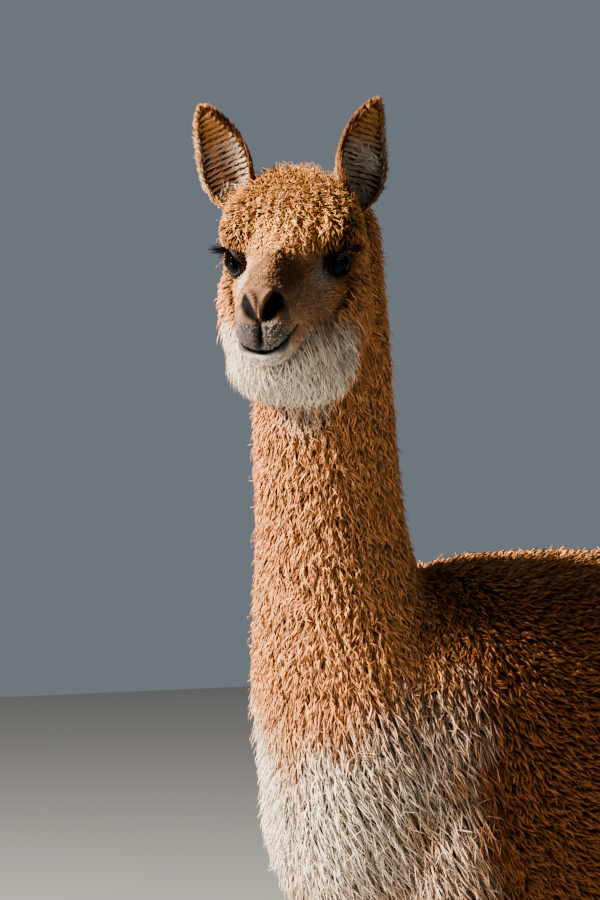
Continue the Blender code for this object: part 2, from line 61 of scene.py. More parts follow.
camera.location = aim + VIEW_DISTANCE * view_back
camera.location.z = VIEW_HEIGHT
camera.rotation_mode = "QUATERNION"
camera.rotation_quaternion = (aim - camera.location).to_track_quat("-Z", "Y")
camera.data.sensor_width = SENSOR_WIDTH
camera.data.lens = SENSOR_WIDTH / VIEW_TALL * (aim - camera.location).length
bpy.context.scene.collection.objects.link(camera)
bpy.context.scene.camera = camera


# ---- Floor and light ------------------------------------------------------------------------------
# A plain pale studio floor, one broad warm lamp well round to the camera's left, where the day came
# from, and a small weak one below it that only puts a light in the eye. The rest is the pale room.
class Mark:
    """A shader value: arithmetic on it adds Math nodes, and node() adds any other."""

    def __init__(self, tree, socket=None):
        self.tree = tree
        self.socket = socket

    def node(self, kind, settings=(), inputs=(), output=0):
        """The output of a new node: its settings are set first, then its sockets' values or links."""
        made = self.tree.nodes.new("ShaderNode" + kind)
        for name, value in dict(settings).items():
            setattr(made, name, value)
        for name, value in dict(inputs).items():
            if isinstance(value, Mark):
                self.tree.links.new(value.socket, made.inputs[name])
            else:
                made.inputs[name].default_value = value
        return Mark(self.tree, made.outputs[output])

    def maths(self, operation, first, second):
        """A Math node on two values, each a Mark or a number."""
        return self.node("Math", {"operation": operation}, {0: first, 1: second})

    def __add__(self, other):
        return self.maths("ADD", self, other)

    def __rsub__(self, other):
        return self.maths("SUBTRACT", other, self)

    def __mul__(self, other):
        return self.maths("MULTIPLY", self, other)

    def __pow__(self, other):
        return self.maths("POWER", self, other)

    __radd__ = __add__
    __rmul__ = __mul__

    def painted(self, name, output=0):
        """A named attribute of the mesh: its colour, or its number with output 2."""
        return self.node("Attribute", {"attribute_name": name}, output=output)

    def shaded(self, shade):
        """This colour times a number."""
        grey = self.node("CombineColor", {}, {0: shade, 1: shade, 2: shade})
        settings = {"data_type": "RGBA", "blend_type": "MULTIPLY", "clamp_factor": True}
        return self.node("Mix", settings, {0: 1.0, 6: self, 7: grey}, 2)

    def noise(self, size, detail=2.0, stretch=(1, 1, 1)):
        """Noise from 0 to 1 on the object's own coordinates. size is one blotch in metres."""
        place = self.node("TexCoord", output=3)
        scale = tuple(s / size for s in stretch)
        place = self.node("Mapping", {"vector_type": "POINT"}, {"Vector": place, "Scale": scale})
        return self.node("TexNoise", {}, {"Vector": place, "Scale": 1.0, "Detail": detail})

    def strands(self, fine, long):
        """Noise from 0 to 1 drawn out along each lock, on its patch of the unwrap."""
        place = self.node("UVMap", {"uv_map": "OFBake"})
        scale = (1 / fine, 1 / long, 1)
        place = self.node("Mapping", {"vector_type": "POINT"}, {"Vector": place, "Scale": scale})
        return self.node("TexNoise", {}, {"Vector": place, "Scale": 1.0, "Detail": 1.5})

    def bump(self, strength, distance):
        """A normal that takes this value as its relief, distance metres deep."""
        return self.node("Bump", {}, {"Height": self, "Strength": strength, "Distance": distance})


def material_of(name, **constants):
    """A Principled material, its blank Mark to build on, and a function that fills its sockets."""
    made = bpy.data.materials.new(name)
    made.use_nodes = True
    shader = made.node_tree.nodes["Principled BSDF"]

    def socket(word):
        return shader.inputs[word.replace("_", " ").title().replace("Ior", "IOR")]

    for word, value in constants.items():
        socket(word).default_value = value

    def fill(**marks):
        for word, mark in marks.items():
            made.node_tree.links.new(mark.socket, socket(word))
        return made

    return Mark(made.node_tree), fill


def signed_volume(points, quads, triangles):
    """Six times the volume that the faces close, below 0 where they are inside out."""
    fans = [quads[:, [0, 1, 2]], quads[:, [0, 2, 3]], triangles] if len(quads) else [triangles]
    a, b, c = (points[np.concatenate(fans)[:, i]] for i in range(3))
    return float((a * np.cross(b, c)).sum())


def mesh_piece(name, points, quads, triangles=None):
    """An object from whole arrays of points and faces, turned right side out and shaded smooth."""
    triangles = np.zeros((0, 3), int) if triangles is None else triangles
    if signed_volume(points - points.mean(axis=0), quads, triangles) < 0:
        quads, triangles = quads[:, ::-1], triangles[:, ::-1]
    corners = np.concatenate([quads.ravel(), triangles.ravel()]).astype(np.int32)
    sizes = np.concatenate([np.full(len(quads), 4), np.full(len(triangles), 3)])
    starts = np.concatenate([[0], np.cumsum(sizes)[:-1]]).astype(np.int32)
    mesh = bpy.data.meshes.new(name)
    mesh.vertices.add(len(points))
    mesh.vertices.foreach_set("co", np.ascontiguousarray(points, np.float32).ravel())
    mesh.loops.add(len(corners))
    mesh.loops.foreach_set("vertex_index", corners)
    mesh.polygons.add(len(sizes))
    mesh.polygons.foreach_set("loop_start", starts)
    mesh.polygons.foreach_set("use_smooth", np.ones(len(sizes), bool))
    mesh.update(calc_edges=True)
    piece = bpy.data.objects.new(name, mesh)
    bpy.context.scene.collection.objects.link(piece)
    return piece


FLOOR_REACH = 9
floor_side = np.linspace(-FLOOR_REACH, FLOOR_REACH, 3)
floor_points = np.stack([*np.meshgrid(floor_side, floor_side, indexing="ij"), np.zeros((3, 3))], axis=-1)
floor_quads = np.array([(0, 3, 4, 1), (1, 4, 5, 2), (3, 6, 7, 4), (4, 7, 8, 5)])
floor = mesh_piece("floor", floor_points.reshape(-1, 3), floor_quads)
blank, fill = material_of("studio_floor", base_color=(0.24, 0.242, 0.244, 1), roughness=0.9)
floor.data.materials.append(fill(roughness=0.82 + 0.12 * blank.noise(0.4)))

world = bpy.data.worlds.new("room")
world.use_nodes = True
room_light = world.node_tree.nodes["Background"].inputs
room_light["Color"].default_value = (0.74, 0.87, 1.0, 1)
room_light["Strength"].default_value = 0.21
bpy.context.scene.world = world


def lamp(name, turn, rise, distance, size, power, colour):
    """An area lamp that looks at the neck from `turn` degrees left of the camera and `rise` above level."""
    made = bpy.data.objects.new(name, bpy.data.lights.new(name, "AREA"))
    made.data.size = size
    made.data.energy = power
    made.data.color = colour
    way = math.radians(turn)
    level = math.cos(way) * view_back - math.sin(way) * view_right
    off = math.cos(math.radians(rise)) * level + Vector((0, 0, math.sin(math.radians(rise))))
    made.location = aim + Vector((0, 0, 0.05)) + distance * off
    made.rotation_euler = (-off).to_track_quat("-Z", "Y").to_euler()
    bpy.context.scene.collection.objects.link(made)


lamp("key", turn=81, rise=30, distance=4.6, size=0.9, power=2900, colour=(1.0, 0.89, 0.74))
lamp("glint", turn=68, rise=-10, distance=2.4, size=0.36, power=44.0, colour=(1.0, 0.97, 0.93))


# ---- Head axes and markings -----------------------------------------------------------------------
# A fawn alpaca with the wild pattern: rusty back and flanks, fawn neck, gold crown, cream chin, bib
# and belly. Skin and coat take their colour from coat_colour, a function of place.
HEAD_DROP = math.radians(16)
EYE_AHEAD, EYE_ABOVE = 0.100, 0.010  # of the eyes from the head's origin, at the back of the skull
MUZZLE_SWAY = -0.0070  # the jaw carried a little to its right


def unit(rows):
    """Vectors made one long."""
    return rows / np.maximum(np.linalg.norm(rows, axis=-1, keepdims=True), 1e-12)


HEAD_ASIDE = unit(np.array(left_eye - right_eye))
level_ahead = np.array([HEAD_ASIDE[1], -HEAD_ASIDE[0], 0])
HEAD_AHEAD = math.cos(HEAD_DROP) * level_ahead - math.sin(HEAD_DROP) * np.array([0, 0, 1.0])
HEAD_AXES = np.stack([HEAD_AHEAD, HEAD_ASIDE, np.cross(HEAD_AHEAD, HEAD_ASIDE)])
HEAD_ORIGIN = np.array(between_eyes) - EYE_AHEAD * HEAD_AXES[0] - EYE_ABOVE * HEAD_AXES[2]


def to_head(points):
    """World places on the head's own axes: ahead, aside to its left, above."""
    return (points - HEAD_ORIGIN) @ HEAD_AXES.T


def from_head(points):
    """Places on the head's own axes, in the world."""
    return points @ HEAD_AXES + HEAD_ORIGIN


def smooth_step(x):
    """0 up to 0 and 1 from 1 on, with the curve x^2 (3 - 2 x) between."""
    x = np.clip(x, 0, 1)
    return x * x * (3 - 2 * x)


def muzzle_sway(ahead):
    """How far aside the muzzle is carried: nothing at the eyes, MUZZLE_SWAY at the lips."""
    return MUZZLE_SWAY * smooth_step((ahead - 0.12) / 0.10)


COLOURS = {
    "fawn": (0.60, 0.245, 0.078),
    "gold": (0.76, 0.345, 0.095),
    "rust": (0.25, 0.085, 0.026),
    "cream": (0.80, 0.665, 0.51),
    "tan": (0.42, 0.205, 0.092),
    "umber": (0.100, 0.038, 0.014),
    "cheek": (0.43, 0.225, 0.115),
    "saddle": (0.170, 0.066, 0.021),
    "nose": (0.078, 0.040, 0.023),
    "lip": (0.033, 0.032, 0.036),
    "black": (0.0009, 0.0008, 0.0007),
    "dusk": (0.085, 0.050, 0.036),
}
COLOURS = {name: np.array(colour) for name, colour in COLOURS.items()}
# The bib's upper edge: a key is (degrees round the chest from the front to the left, height).
BIB_EDGE = [
    (-76, 0.755), (-55, 0.760), (-32, 0.762), (-18, 0.750), (-8, 0.716),
    (3, 0.690), (15, 0.702), (30, 0.720), (46, 0.742), (76, 0.765),
]
# Soft patches on the face: a row is (colour, strength, place on the head's axes, reach), mirrored.
FACE_PATCHES = [
    ("cream", 0.95, (0.134, 0.042, -0.004), (0.015, 0.012, 0.015)),  # ahead of the eye
    ("dusk", 0.5, (0.112, 0.060, -0.012), (0.012, 0.012, 0.006)),  # below the eye
    ("black", 0.9, (0.088, 0.066, -0.014), (0.005, 0.010, 0.006)),  # below its outer corner
    ("gold", 0.7, (0.118, 0.062, -0.030), (0.020, 0.020, 0.012)),  # cheekbone
]


def lay(colour, name, share):
    """The colour with a named one laid over it, by a share for each place."""
    return colour + (COLOURS[name] - colour) * np.clip(share, 0, 1)[:, None]


def ripple(points, size, seed):
    """A soft random field, mostly from -1 to 1: five crossed waves about `size` metres long."""
    draw = np.random.default_rng(seed)
    total = np.zeros(len(points))
    for _ in range(5):
        way = draw.normal(size=3)
        way *= draw.uniform(0.7, 1.4) * 2 * math.pi / (size * np.linalg.norm(way))
        total += np.sin(points @ way + draw.uniform(0, 2 * math.pi))
    return total / 3


def bell(points, centre, reach):
    """1 at the centre, falling off as a bell over the reach on each axis, and the same on the other side."""
    away = (np.abs(points * (0, 1, 0)) + points * (1, 0, 1) - np.abs(centre)) / reach
    return np.exp(-(away**2).sum(axis=1))


def coat_colour(world_points):
    """The colour of the coat at each place, from soft-edged patches laid over one another."""
    x, y, z = world_points.T
    head = to_head(world_points)
    ahead, aside, above = head.T
    uneven = ripple(world_points, 0.05, 3)
    ragged = uneven + 0.8 * ripple(world_points, 0.017, 4)
    width = np.abs(x)

    colour = np.tile(COLOURS["fawn"], (len(x), 1))
    back = smooth_step((y + 0.300 + 0.012 * uneven) / 0.07)
    colour = lay(colour, "rust", back * smooth_step((0.90 - z) / 0.07))
    colour = lay(colour, "tan", 0.75 * smooth_step((0.42 - z) / 0.22))
    round_chest = np.degrees(np.arctan2(x, -(y + 0.22)))
    edge = np.interp(round_chest, *np.array(BIB_EDGE).T) + 0.016 * ragged
    bib = smooth_step((edge - z + 0.016) / 0.105)
    bib *= smooth_step((87 + 8 * ragged - np.abs(round_chest)) / 20)
    bib *= smooth_step((z - 0.44 + 0.01 * ragged) / 0.13)
    belly = smooth_step((0.515 + 0.012 * ragged - z) / 0.04)
    belly *= smooth_step((z - 0.44 + 0.01 * ragged) / 0.05)
    belly *= smooth_step((0.130 - width) / 0.04) * smooth_step((0.27 + 0.02 * ragged - y) / 0.06)
    inner_leg = smooth_step((0.080 - width + 0.008 * ragged) / 0.03)
    inner_leg *= smooth_step((0.475 - z + 0.02 * ragged) / 0.11)
    inner_leg *= 0.42 * smooth_step((z - 0.16) / 0.16)
    colour = lay(colour, "cream", np.maximum.reduce([bib, 0.9 * belly, inner_leg]))
    # Tan mixed into the sides of the bib, more on its left: partly the fleece's own tan, partly painted
    # shade on the side away from the key lamp.
    side_tan_and_shade = 0.58 * smooth_step((round_chest - 18) / 40) + 0.14 * smooth_step((-40 - round_chest) / 30)
    colour = lay(colour, "tan", side_tan_and_shade * (1 + 0.5 * ragged) * bib)

    on_head = smooth_step((ahead * 0.64 + above * 0.77 + 0.068) / 0.02)
    crown = on_head * smooth_step((above - 0.020) / 0.03) * smooth_step((0.166 - ahead) / 0.03)
    colour = lay(colour, "gold", crown)
    face_start = 0.120 + 0.022 * smooth_step((0.045 - np.abs(aside)) / 0.02)
    colour = lay(colour, "cheek", 0.85 * smooth_step((ahead - face_start) / 0.03) * on_head)
    from_ridge = np.abs(aside - muzzle_sway(ahead))
    bridge = smooth_step((0.040 - from_ridge) / 0.016) * smooth_step((above + 0.002) / 0.014)
    colour = lay(colour, "saddle", 0.9 * bridge * smooth_step((ahead - 0.140) / 0.03) * on_head)
    bridge_end = smooth_step((ahead - 0.165) / 0.04) * smooth_step((above + 0.020) / 0.02)
    ridge = smooth_step((ahead - 0.125) / 0.03) * smooth_step((above + 0.01) / 0.02)
    ridge = np.exp(-(((aside + 0.0012) / 0.013) ** 2)) * ridge
    colour = lay(colour, "dusk", np.maximum(0.50 * bridge_end, 0.30 * ridge) * on_head)
    colour = lay(colour, "umber", 0.45 * bell(head, (0.150, 0.040, -0.020), (0.024, 0.014, 0.022)))
    under = (-0.046 + 0.006 * ragged - above + 0.10 * np.clip(ahead - 0.13, 0, 1)) / 0.014
    throat = smooth_step(under) * smooth_step((ahead - 0.095 + 0.006 * ragged) / 0.024)
    colour = lay(colour, "cream", throat * on_head)
    for name, strength, centre, reach in FACE_PATCHES:
        colour = lay(colour, name, strength * bell(head, centre, reach))
    # The dark bare skin round the eye, spread wide with painted shade of the socket and of the lashes above
    # it.
    around_eye = bell(head, (0.106, 0.056, 0.012), (0.026, 0.021, 0.0190))
    colour = lay(colour, "umber", 1.25 * around_eye)
    return lay(colour, "black", 2.4 * around_eye - 0.72)


# ---- Head ------------------------------------------------------------------------------------------
# The skull with its skin, under the wool: a wedge from the broad crown to the blunt muzzle, with the
# brow over each eye, the nose wings and slit nostrils, the split upper lip and the mouth.
# A key is (ahead, top, underside, half width, squareness).
HEAD_SHAPE = [
    (0.026, 0.0745, -0.108, 0.058, 2.4),
    (0.055, 0.0795, -0.116, 0.062, 2.5),
    (0.080, 0.0740, -0.116, 0.0605, 2.5),
    (0.100, 0.062, -0.111, 0.0575, 2.2),
    (0.120, 0.045, -0.103, 0.0520, 2.05),
    (0.145, 0.0330, -0.092, 0.0445, 1.88),
    (0.170, 0.0262, -0.081, 0.0385, 1.82),
    (0.195, 0.0205, -0.0735, 0.0330, 1.95),
    (0.214, 0.0165, -0.0680, 0.0290, 2.15),
    (0.226, 0.0135, -0.0650, 0.0265, 2.25),
    (0.240, 0.0080, -0.0600, 0.0250, 2.2),
]
HEAD_BACK, HEAD_MAIN, HEAD_FRONT, HEAD_TIP = -0.004, 0.026, 0.224, 0.2385
END_SQUARENESS = 2.5  # of the rounding at both ends
# Swellings and hollows: a row is (ahead, aside, above, reach on each, height), mirrored.
HEAD_FORMS = [
    (0.096, 0.052, 0.036, 0.026, 0.016, 0.011, 0.0036),  # bony brow over the eye
    (0.078, 0.056, 0.046, 0.030, 0.022, 0.022, 0.0050),  # temple
    (0.165, 0.000, 0.028, 0.040, 0.0090, 0.020, 0.0038),  # ridge of the bridge
    (0.102, 0.052, 0.010, 0.017, 0.020, 0.015, -0.0085),  # eye socket
    (0.126, 0.046, 0.010, 0.012, 0.012, 0.014, -0.0050),  # hollow ahead of the eye
    (0.118, 0.056, -0.018, 0.030, 0.012, 0.010, 0.0030),  # cheekbone
    (0.165, 0.038, -0.006, 0.026, 0.012, 0.014, -0.0030),  # side of the muzzle
    (0.216, 0.024, 0.008, 0.014, 0.011, 0.009, 0.0030),  # root of the nose wing
    (0.2300, 0.0140, -0.031, 0.012, 0.0085, 0.0105, 0.0136),  # half of the split lip
    (0.222, 0.000, -0.060, 0.016, 0.020, 0.009, 0.0030),  # lower lip and chin
]
# Ridges and grooves along a line of (ahead, aside, above, width, height): each is carried by its
# nearest point, and mirrored.
NOSTRIL = [
    (0.2160, 0.0275, 0.0035, 0.0060, -0.008),
    (0.2215, 0.0215, 0.0030, 0.0086, -0.012),
    (0.2270, 0.0150, -0.0010, 0.0096, -0.012),
    (0.2318, 0.0100, -0.0085, 0.0086, -0.012),
    (0.2355, 0.0052, -0.0150, 0.0050, -0.009),
    (0.2375, 0.0018, -0.0200, 0.0022, -0.004),
]
NOSE_WING = [
    (0.2370, 0.0044, -0.0060, 0.0036, 0.0014),
    (0.2330, 0.0068, 0.0065, 0.0042, 0.0034),
    (0.2250, 0.0150, 0.0125, 0.0042, 0.0062),
    (0.2160, 0.0255, 0.0125, 0.0046, 0.0052),
    (0.2100, 0.0305, 0.0040, 0.0048, 0.0034),
    (0.2130, 0.0290, -0.0060, 0.0048, 0.0026),
    (0.2220, 0.0230, -0.0115, 0.0042, 0.0026),
]
NOSE_CREASE = [
    (0.2350, 0.0100, -0.0180, 0.0022, -0.0007),
    (0.2290, 0.0180, -0.0170, 0.0026, -0.0012),
    (0.2200, 0.0255, -0.0140, 0.0030, -0.0012),
    (0.2100, 0.0305, -0.0100, 0.0036, -0.0006),
]
LIP_SPLIT = [
    (0.239, 0.0, -0.0160, 0.0018, -0.0045),
    (0.239, 0.0, -0.0260, 0.0027, -0.0085),
    (0.237, 0.0, -0.0370, 0.0030, -0.0090),
    (0.234, 0.0, -0.0460, 0.0030, -0.0070),
]
MOUTH_LOW, MOUTH_SMILE, MOUTH_BACK = -0.0510, 19.0, 0.190
MOUTH_DEPTH, MOUTH_WIDTH = 0.0068, 0.0025


def smooth_through(keys, places):
    """Values at the places, on smooth curves through the keys: cubics with the keys' mean slopes."""
    keys = np.array(keys, float)
    at, values = keys[:, 0], keys[:, 1:]
    slopes = np.gradient(values, at, axis=0)
    left = np.clip(np.searchsorted(at, places, side="right") - 1, 0, len(at) - 2)
    span = at[left + 1] - at[left]
    t = ((places - at[left]) / span)[..., None]
    span = span[..., None]
    start = (2 * t**3 - 3 * t**2 + 1) * values[left] + (t**3 - 2 * t**2 + t) * span * slopes[left]
    end = (3 * t**2 - 2 * t**3) * values[left + 1] + (t**3 - t**2) * span * slopes[left + 1]
    return start + end


def along_line(head, line, rows=25):
    """The height of a ridge or groove: the strongest of the bells strung along its smooth line."""
    share = np.linspace(0, 1, len(line))
    keys = np.column_stack([share, np.array(line)])
    ahead, aside, above, width, height = smooth_through(keys, np.linspace(0, 1, rows)).T
    best = np.zeros(len(head))
    for i in range(rows):
        away = head - (ahead[i], 0, above[i])
        away[:, 1] = np.abs(head[:, 1]) - aside[i]
        here = height[i] * np.exp(-(away**2).sum(axis=1) / width[i] ** 2)
        best = np.where(np.abs(here) > np.abs(best), here, best)
    return best


def bare_head(stretch, angle):
    """The plain wedge on the head's axes: superellipse rings, closed at both ends by a superellipse dome.

    stretch runs from -1 to 0 over the back dome, to 1 along the head and to 2 over the front dome.
    """
    turn = np.clip(np.maximum(-stretch, stretch - 1), 0, 1) * math.pi / 2
    inwards = np.abs(np.sin(turn)) ** (2 / END_SQUARENESS)
    shrink = np.abs(np.cos(turn)) ** (2 / END_SQUARENESS)
    ahead = HEAD_MAIN + (HEAD_FRONT - HEAD_MAIN) * np.clip(stretch, 0, 1)
    ahead = np.where(stretch < 0, HEAD_MAIN + (HEAD_BACK - HEAD_MAIN) * inwards, ahead)
    ahead = np.where(stretch > 1, HEAD_FRONT + (HEAD_TIP - HEAD_FRONT) * inwards, ahead)
    top, bottom, half_width, square = np.moveaxis(smooth_through(HEAD_SHAPE, ahead), -1, 0)
    middle = bottom + 0.50 * (top - bottom)
    side, rise = np.cos(angle), np.sin(angle)
    across = np.sign(side) * np.abs(side) ** (2 / square) * half_width * shrink
    half_height = np.where(rise > 0, top - middle, middle - bottom) * shrink
    above = middle + np.sign(rise) * np.abs(rise) ** (2 / square) * half_height
    return np.stack([ahead, across, above], axis=-1)


def normal_of(surface, stretch, angle, step=0.004):
    """The outward normal of a surface function, from the cross product of two short steps on it."""
    inner = np.clip(stretch, -1 + 2 * step, 2 - 2 * step)
    across = surface(inner + step, angle) - surface(inner - step, angle)
    around = surface(inner, angle + step) - surface(inner, angle - step)
    return unit(np.cross(around, across))


def mouth_line(head):
    """How much a place is on the closed mouth: a line that rises with the square of the way aside."""
    ahead, aside, above = head.T
    line = MOUTH_LOW + MOUTH_SMILE * aside ** 2
    front = smooth_step((ahead - MOUTH_BACK) / 0.014)
    return front * np.exp(-(((above - line) / MOUTH_WIDTH) ** 2)) * (above < -0.028)


def flare(head):
    """How open each nostril is held: the right one a quarter less than the left."""
    return 1 - 0.26 * smooth_step((-head[:, 1] - 0.001) / 0.004)


def head_surface(stretch, angle):
    """The wedge with its swellings, ridges and grooves, pushed along the wedge's own normal."""
    plain = bare_head(stretch, angle)
    normal = normal_of(bare_head, stretch, angle)
    head = plain.reshape(-1, 3)
    push = np.zeros(len(head))
    for ahead, aside, above, *reach, height in HEAD_FORMS:
        push += height * bell(head, (ahead, aside, above), reach)
    push += along_line(head, NOSE_WING)
    push += along_line(head, NOSTRIL) * flare(head)
    push += along_line(head, NOSE_CREASE)
    push += along_line(head, LIP_SPLIT)
    push -= MOUTH_DEPTH * mouth_line(head)
    head = head + normal.reshape(-1, 3) * push[:, None]
    head[:, 1] += muzzle_sway(head[:, 0])
    return head.reshape(plain.shape)


def face_paint(plain):
    """How far each place on the plain wedge is bare nose, grey lip, and black: painted shade in the
    nostrils, the split of the lip and the mouth.
    """
    ahead, aside, above = plain.T
    pad = smooth_step((ahead - 0.210) / 0.010) * smooth_step((above + 0.030) / 0.008)
    pad *= smooth_step((0.0180 - above) / 0.008)
    lips = smooth_step((ahead - 0.209) / 0.012) * smooth_step((-0.014 - above) / 0.007)
    lips *= smooth_step((above + 0.056) / 0.008)
    arch = 0.011 * ((np.abs(aside) - 0.012) / 0.014) ** 2
    lips *= smooth_step((-0.013 - arch - above) / 0.008)
    hole = smooth_step((-along_line(plain, NOSTRIL) * flare(plain) / 0.010 - 0.20) / 0.34)
    split = smooth_step((-along_line(plain, LIP_SPLIT) / 0.008 - 0.36) / 0.5)
    return pad, lips, np.clip(np.maximum.reduce([hole, 0.95 * split, 2.2 * mouth_line(plain)]), 0, 1)


def paint_on(mesh, name, values):
    """A number or a colour for each vertex, kept as a named attribute for the material."""
    if values.ndim == 1:
        mesh.attributes.new(name, "FLOAT", "POINT").data.foreach_set("value", values.astype(np.float32))
        return
    rows = np.column_stack([values, np.ones(len(values))]).astype(np.float32)
    mesh.attributes.new(name, "FLOAT_COLOR", "POINT").data.foreach_set("color", rows.ravel())


def ring_quads(rings, around, closed=False):
    """The quads over rings of points in a row, and back to the first ring where closed."""
    row, column = np.meshgrid(np.arange(rings if closed else rings - 1), np.arange(around), indexing="ij")
    near, far, after = row * around, (row + 1) % rings * around, (column + 1) % around
    return np.stack([near + column, near + after, far + after, far + column], axis=-1).reshape(-1, 4)


def closed_grid(rings):
    """Points, quads and triangles of a skin over rings, (ring, point, xyz), with a fan on each end."""
    count, around = rings.shape[:2]
    points = np.concatenate([rings.reshape(-1, 3), rings[[0, -1]].mean(axis=1)])
    column = np.arange(around)
    after = (column + 1) % around
    near, far = np.full(around, count * around), np.full(around, count * around + 1)
    last = (count - 1) * around
    fans = [np.stack([near, after, column], axis=1), np.stack([far, last + column, last + after], axis=1)]
    return points, ring_quads(count, around), np.concatenate(fans)


def rounds(shares, around):
    """Two grids: each of the shares, with even angles all the way round it."""
    return np.meshgrid(shares, np.linspace(0, 2 * math.pi, around, endpoint=False), indexing="ij")


HEAD_ROWS = np.concatenate([
    np.linspace(-1, 0, 16)[1:-1],  # over the back dome
    1 - np.linspace(1, 0, 118)[:-1] ** 1.5,  # along the head, closer together towards the nose
    np.linspace(1, 2, 55)[:-1],  # over the front dome
])
stretch, angle = rounds(HEAD_ROWS, 220)
head_points, head_quads, head_fans = closed_grid(from_head(head_surface(stretch, angle)))
head_skin = mesh_piece("head_skin", head_points, head_quads, head_fans)
plain = bare_head(stretch, angle)
plain = np.concatenate([plain.reshape(-1, 3), plain[[0, -1]].mean(axis=1)])
pad, lips, dark = face_paint(plain)
paint_on(head_skin.data, "pad", pad)
paint_on(head_skin.data, "lips", lips)
# dark is the black painted shade of the nostrils, the lip's split and the mouth.
paint_on(head_skin.data, "dark", dark)


# ---- Ears ------------------------------------------------------------------------------------------
# Two spear-shaped leaves of gristle under thin skin, rolled into a tube at the root and open above,
# the left one turned further outwards. They grow out of the sides of the crown.
EAR_ROOT = (0.038, 0.055, 0.056)  # on the head's axes
EAR_LENGTH, EAR_HALF_WIDTH, EAR_WALL = 0.107, 0.0265, 0.0032
EAR_BEND = 0.010  # of the tip, forwards
EAR_BACK = math.radians(2)
# An ear is (its side of the head, its lean outwards, the turn of its opening outwards).
EARS = {"left": (1, math.radians(20), math.radians(42)), "right": (-1, math.radians(21), math.radians(10))}
# A key is (share of the length, share of the full half width, half angle of the roll).
EAR_SHAPE = [
    (0.00, 0.62, 2.30),
    (0.15, 0.84, 1.95),
    (0.35, 1.00, 1.50),
    (0.60, 0.86, 1.20),
    (0.82, 0.52, 0.95),
    (0.95, 0.22, 0.70),
    (1.00, 0.05, 0.50),
]


def turned(angle, axis):
    """A rotation matrix about one of the three axes."""
    first, second = (axis + 1) % 3, (axis + 2) % 3
    matrix = np.eye(3)
    matrix[first, first] = matrix[second, second] = math.cos(angle)
    matrix[first, second], matrix[second, first] = -math.sin(angle), math.sin(angle)
    return matrix


def ear_stand(side_word):
    """How an ear stands: the matrix that turns it on the head's axes, and its root there."""
    side, lean, opening = EARS[side_word]
    turning = turned(side * opening, 2) @ turned(-EAR_BACK, 1) @ turned(-side * lean, 0)
    return turning, np.array(EAR_ROOT) * (1, side, 1)


def ear_surface(side_word, share, across, off):
    """A place on an ear's leaf: an arc of the roll at each share of its length.

    across runs from -1 on its inner edge to 1 on its outer edge, and off is the way out from the
    middle of its wall, above 0 at its back.
    """
    side = EARS[side_word][0]
    width, roll = np.moveaxis(smooth_through(EAR_SHAPE, share), -1, 0)
    middle = EAR_HALF_WIDTH * width / np.sin(np.minimum(roll, math.pi / 2))
    angle = across * roll
    forwards = 0.5 * middle - (middle + off) * np.cos(angle) + EAR_BEND * smooth_step((share - 0.55) / 0.45)
    sideways = side * (middle + off) * np.sin(angle)
    leaf = np.stack([forwards, sideways, share * EAR_LENGTH], axis=-1)
    turning, root = ear_stand(side_word)
    return from_head(leaf @ turning.T + root)


share, loop = rounds(np.linspace(-0.06, 1, 54), 56)
wall = EAR_WALL * (1 - 0.5 * np.clip(share, 0, 1))
ear_skins = []
for word in EARS:
    rings = ear_surface(word, share, -np.cos(loop), 0.5 * wall * np.sin(loop))
    ear_skins.append(mesh_piece("ear_skin_" + word, *closed_grid(rings)))


# ---- Skin ------------------------------------------------------------------------------------------
# One unbroken hide over the whole animal, sunk under the coat by its depth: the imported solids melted
# together and drawn in, with the finer head and ears grown into it.
LEGS = [f"leg_{end}_{side}" for end in ("fore", "hind") for side in ("left", "right")]
FLESH = ["head", "neck", "trunk", "tail", *LEGS]
SKIN_GRAIN = 0.0066
OVERLAP = 0.0010  # the parts are swollen by this to close the cuts between them


def settled(piece):
    """The piece with its modifiers applied."""
    bpy.context.view_layer.update()
    mesh = bpy.data.meshes.new_from_object(piece.evaluated_get(bpy.context.evaluated_depsgraph_get()))
    piece.modifiers.clear()
    piece.data = mesh
    return piece


def rows_of(items, name):
    """One vector of each item of a mesh, as rows."""
    rows = np.empty(len(items) * 3, np.float32)
    items.foreach_get(name, rows)
    return rows.reshape(-1, 3).astype(float)


def places_of(mesh):
    """The places of the mesh's vertices."""
    return rows_of(mesh.vertices, "co")


def outwards(mesh):
    """The normals of the mesh's vertices."""
    return rows_of(mesh.vertex_normals, "vector")


def corners_of(mesh):
    """The vertex at each corner of the mesh's faces."""
    corners = np.empty(len(mesh.loops), np.int32)
    mesh.loops.foreach_get("vertex_index", corners)
    return corners


NO_QUADS = np.zeros((0, 4), int)


def merged_copy(node):
    """A CAD node's mesh as one closed skin: its loose triangles share their corners again."""
    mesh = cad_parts[node].data
    points = places_of(mesh)
    keys = np.rint(points * 1e5).astype(np.int64)
    _, first, again = np.unique(keys, axis=0, return_index=True, return_inverse=True)
    triangles = again.ravel()[corners_of(mesh)].reshape(-1, 3)
    triangles = triangles[(np.diff(np.sort(triangles, axis=1), axis=1) > 0).all(axis=1)]
    return mesh_piece("flesh_" + node, points[first], NO_QUADS, triangles)


head_form = (head_points, outwards(head_skin.data), head_quads)
flesh = [merged_copy(node) for node in FLESH]
all_points, all_triangles, so_far = [], [], 0
for part in flesh:
    all_points.append(places_of(part.data) + OVERLAP * outwards(part.data))
    all_triangles.append(corners_of(part.data).reshape(-1, 3) + so_far)
    so_far += len(all_points[-1])
    bpy.data.objects.remove(part)
hide = mesh_piece("hide", np.concatenate(all_points), NO_QUADS, np.concatenate(all_triangles))
melt = hide.modifiers.new("melt", "REMESH")
melt.mode = "VOXEL"
melt.voxel_size = SKIN_GRAIN
settled(hide)
soften = hide.modifiers.new("soften", "SMOOTH")
soften.factor = 0.5
soften.iterations = 8
settled(hide)
outer_points, outer_normals = places_of(hide.data), outwards(hide.data)
outer_form = (outer_points, outer_normals, corners_of(hide.data).reshape(-1, 4))

